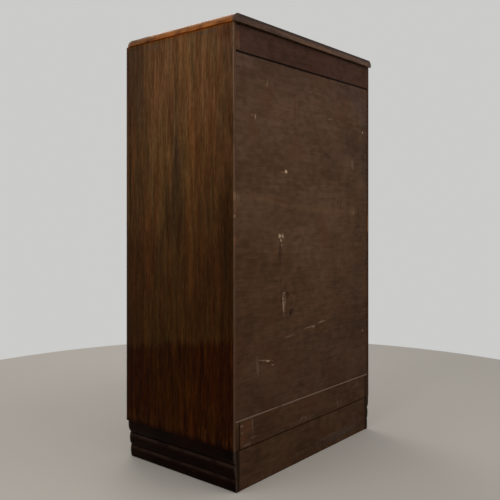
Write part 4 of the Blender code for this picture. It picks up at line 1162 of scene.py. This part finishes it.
def knob_profile():
    """Radius and reach from the spigot's end to the tip.

    The foot has a rounded rim, the neck a hollow that swells to the head by a smooth step, and the
    head is a quarter of a full ellipse with a shallow ring cut in it.
    """
    spigot = [(POLE_RADIUS, -SPIGOT_LENGTH), (SPIGOT_RADIUS, -SPIGOT_LENGTH)]
    spigot += [(SPIGOT_RADIUS, KNOB_SEAT)]
    rim = np.linspace(0, math.pi / 2, 6)
    radius = FOOT_RADIUS - FOOT_THICK * 0.5 * (1 - np.cos(rim))
    foot = np.column_stack([radius, KNOB_SEAT + (FOOT_THICK - KNOB_SEAT) * np.sin(rim)])
    hollow = np.linspace(0, 1, 8)
    neck_foot = FOOT_RADIUS - FOOT_THICK * 0.7
    radius = NECK_RADIUS + (neck_foot - NECK_RADIUS) * (1 - hollow) ** 2
    neck = np.column_stack([radius, FOOT_THICK + (NECK_MIDDLE - FOOT_THICK) * hollow])
    swell = np.linspace(0, 1, 14)[1:]
    radius = NECK_RADIUS + (HEAD_RADIUS - NECK_RADIUS) * swell**2 * (3 - 2 * swell)
    swelling = np.column_stack([radius, NECK_MIDDLE + (HEAD_MIDDLE - NECK_MIDDLE) * swell])
    angle = np.linspace(0, math.pi / 2, 26)[1:-1]
    share = np.cos(angle) ** 0.9
    ring = RING_DEPTH * np.exp(-(((share - RING_PLACE) / RING_HALF) ** 2))
    rise = HEAD_MIDDLE + (KNOB_REACH - HEAD_MIDDLE) * np.sin(angle) - ring
    head = np.column_stack([HEAD_RADIUS * share, rise])
    return np.concatenate([spigot, foot, neck, swelling, head, [(POLE_RADIUS, KNOB_REACH)]])


def knob_mesh(name, middle_x, middle_z):
    """The profile turned about the knob's axis, which points forward from the front."""
    profile = knob_profile()
    points = turned_points(profile[:, 0], FRONT - profile[:, 1], KNOB_STEPS)
    return grid_mesh(name, points + (middle_x, 0, middle_z), wrap=True)


def knob_finish():
    """Dark polished walnut, its grain across the knob, with painted shade towards the neck."""
    finish, place = begin_finish("walnut_knobs", 0.30)
    figure = place.drift((0.03, 0.03, 0.03), 0.006).streaks((0.05, 0.012, 0.003), 3.0)
    threads = place.streaks((0.012, 0.006, 0.0009), 2.0)
    tone = figure * 0.65 + threads * 0.35
    colour = walnut_colour(tone, 0.36, 0.66).tint(KNOB_TINT)
    # Painted shade: darker towards the neck, under the head.
    neck_shade = place.y.ease(FRONT - HEAD_MIDDLE, FRONT - FOOT_THICK)
    colour = (neck_shade * 0.6).blend(colour, WALNUT_DARK)
    return end_finish(finish, colour, 0.34 - tone * 0.12, threads, 0.00008)


KNOB_WALNUT = knob_finish()
KNOBS = [(f"door_{hand}_knob", f"door_{hand}") for hand in HANDS]
KNOBS += [(f"drawer_{word}_knob_{hand}", f"drawer_{word}") for word in DRAWERS for hand in HANDS]
for name, body in KNOBS:
    low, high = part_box(name)
    middle_x = (low.x + high.x) / 2
    middle_z = (low.z + high.z) / 2
    mesh = knob_mesh(f"{name}_turned", middle_x, middle_z)
    new_piece(mesh, body, KNOB_WALNUT, "walnut_lipping", name)

# The hinges: small brass butts, two to a door, dulled by age, each leaf let in flush and held by
# three slotted countersunk screws.
BRASS_DULL = (0.30, 0.20, 0.075)
BRASS_BRIGHT = (0.56, 0.40, 0.17)
SCREW_RADIUS = 0.0027
SCREW_RISE = 0.00025
SCREW_SINK = 0.0008
SLOT_HALF = 0.14  # share of the radius
SLOT_DEPTH = 0.0005
SCREW_PITCH = 0.021
SCREW_STAGGER = 0.0016
LEAF_MIDDLE = 0.0090  # from the front to a leaf's row of screws


def brass_finish():
    """Brass, dulled in small patches."""
    finish, place = begin_finish("aged_brass", 0.5, 1.0)
    tarnish = place.speckle(0.008, 4.0).ease(0.35, 0.65)
    return end_finish(finish, tarnish.blend(BRASS_DULL, BRASS_BRIGHT), 0.48 - tarnish * 0.16)


def screw_mesh(name, centres, facing):
    """Slotted heads as a section across the slot carried along it, shrunk to a circle's chord.

    The section is a low dome with the slot cut square in its middle, closed by a flat underside.
    """
    half = np.array([SLOT_HALF, SLOT_HALF, 0.45, 0.75, 0.96])
    across = np.concatenate([-half[::-1], half])
    in_slot = np.isin(np.arange(len(across)), (len(half) - 1, len(half)))
    along = np.array([-1.0, -0.7, 0.0, 0.7, 1.0])
    chord = np.outer(along, np.sqrt(1 - across**2))
    dome = SCREW_RISE * (1 - chord**2 - across**2)
    head = np.where(in_slot, -SLOT_DEPTH, dome)
    head = np.concatenate([head, np.full((len(along), 2), -SCREW_SINK)], axis=1)
    chord = np.concatenate([chord, chord[:, [-1, 0]]], axis=1)
    across = np.concatenate([across, across[[-1, 0]]])
    across = np.broadcast_to(across, head.shape)
    screw = np.stack([facing * head, SCREW_RADIUS * across, SCREW_RADIUS * chord], axis=-1)
    return grid_mesh(name, centres[:, None, None, :] + screw, wrap=True)


BRASS = brass_finish()
POST_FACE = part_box("front_post_right")[0].x
DOOR_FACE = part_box("door_right")[1].x
step = np.array([-1, 0, 1])
for hand, side in HANDS.items():
    rows = []
    for level in LEVELS:
        dress(BRASS, *(f"hinge_{hand}_{level}_{kind}_leaf" for kind in ("post", "door")))
        leaf_low, leaf_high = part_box(f"hinge_{hand}_{level}_post_leaf")
        rows.append((leaf_low.z + leaf_high.z) / 2)
    screw_z = (np.array(rows)[:, None] + SCREW_PITCH * step).ravel()
    screw_y = FRONT + LEAF_MIDDLE + np.tile(SCREW_STAGGER * (1 - 2 * np.abs(step)), len(rows))
    for kind, body, face, facing in (
        ("post", "case", POST_FACE, -side),
        ("door", f"door_{hand}", DOOR_FACE, side),
    ):
        centres = np.column_stack([np.full_like(screw_z, side * face), screw_y, screw_z])
        mesh = screw_mesh(f"hinge_screws_{hand}_{kind}", centres, facing)
        new_piece(mesh, body, BRASS, "brass")
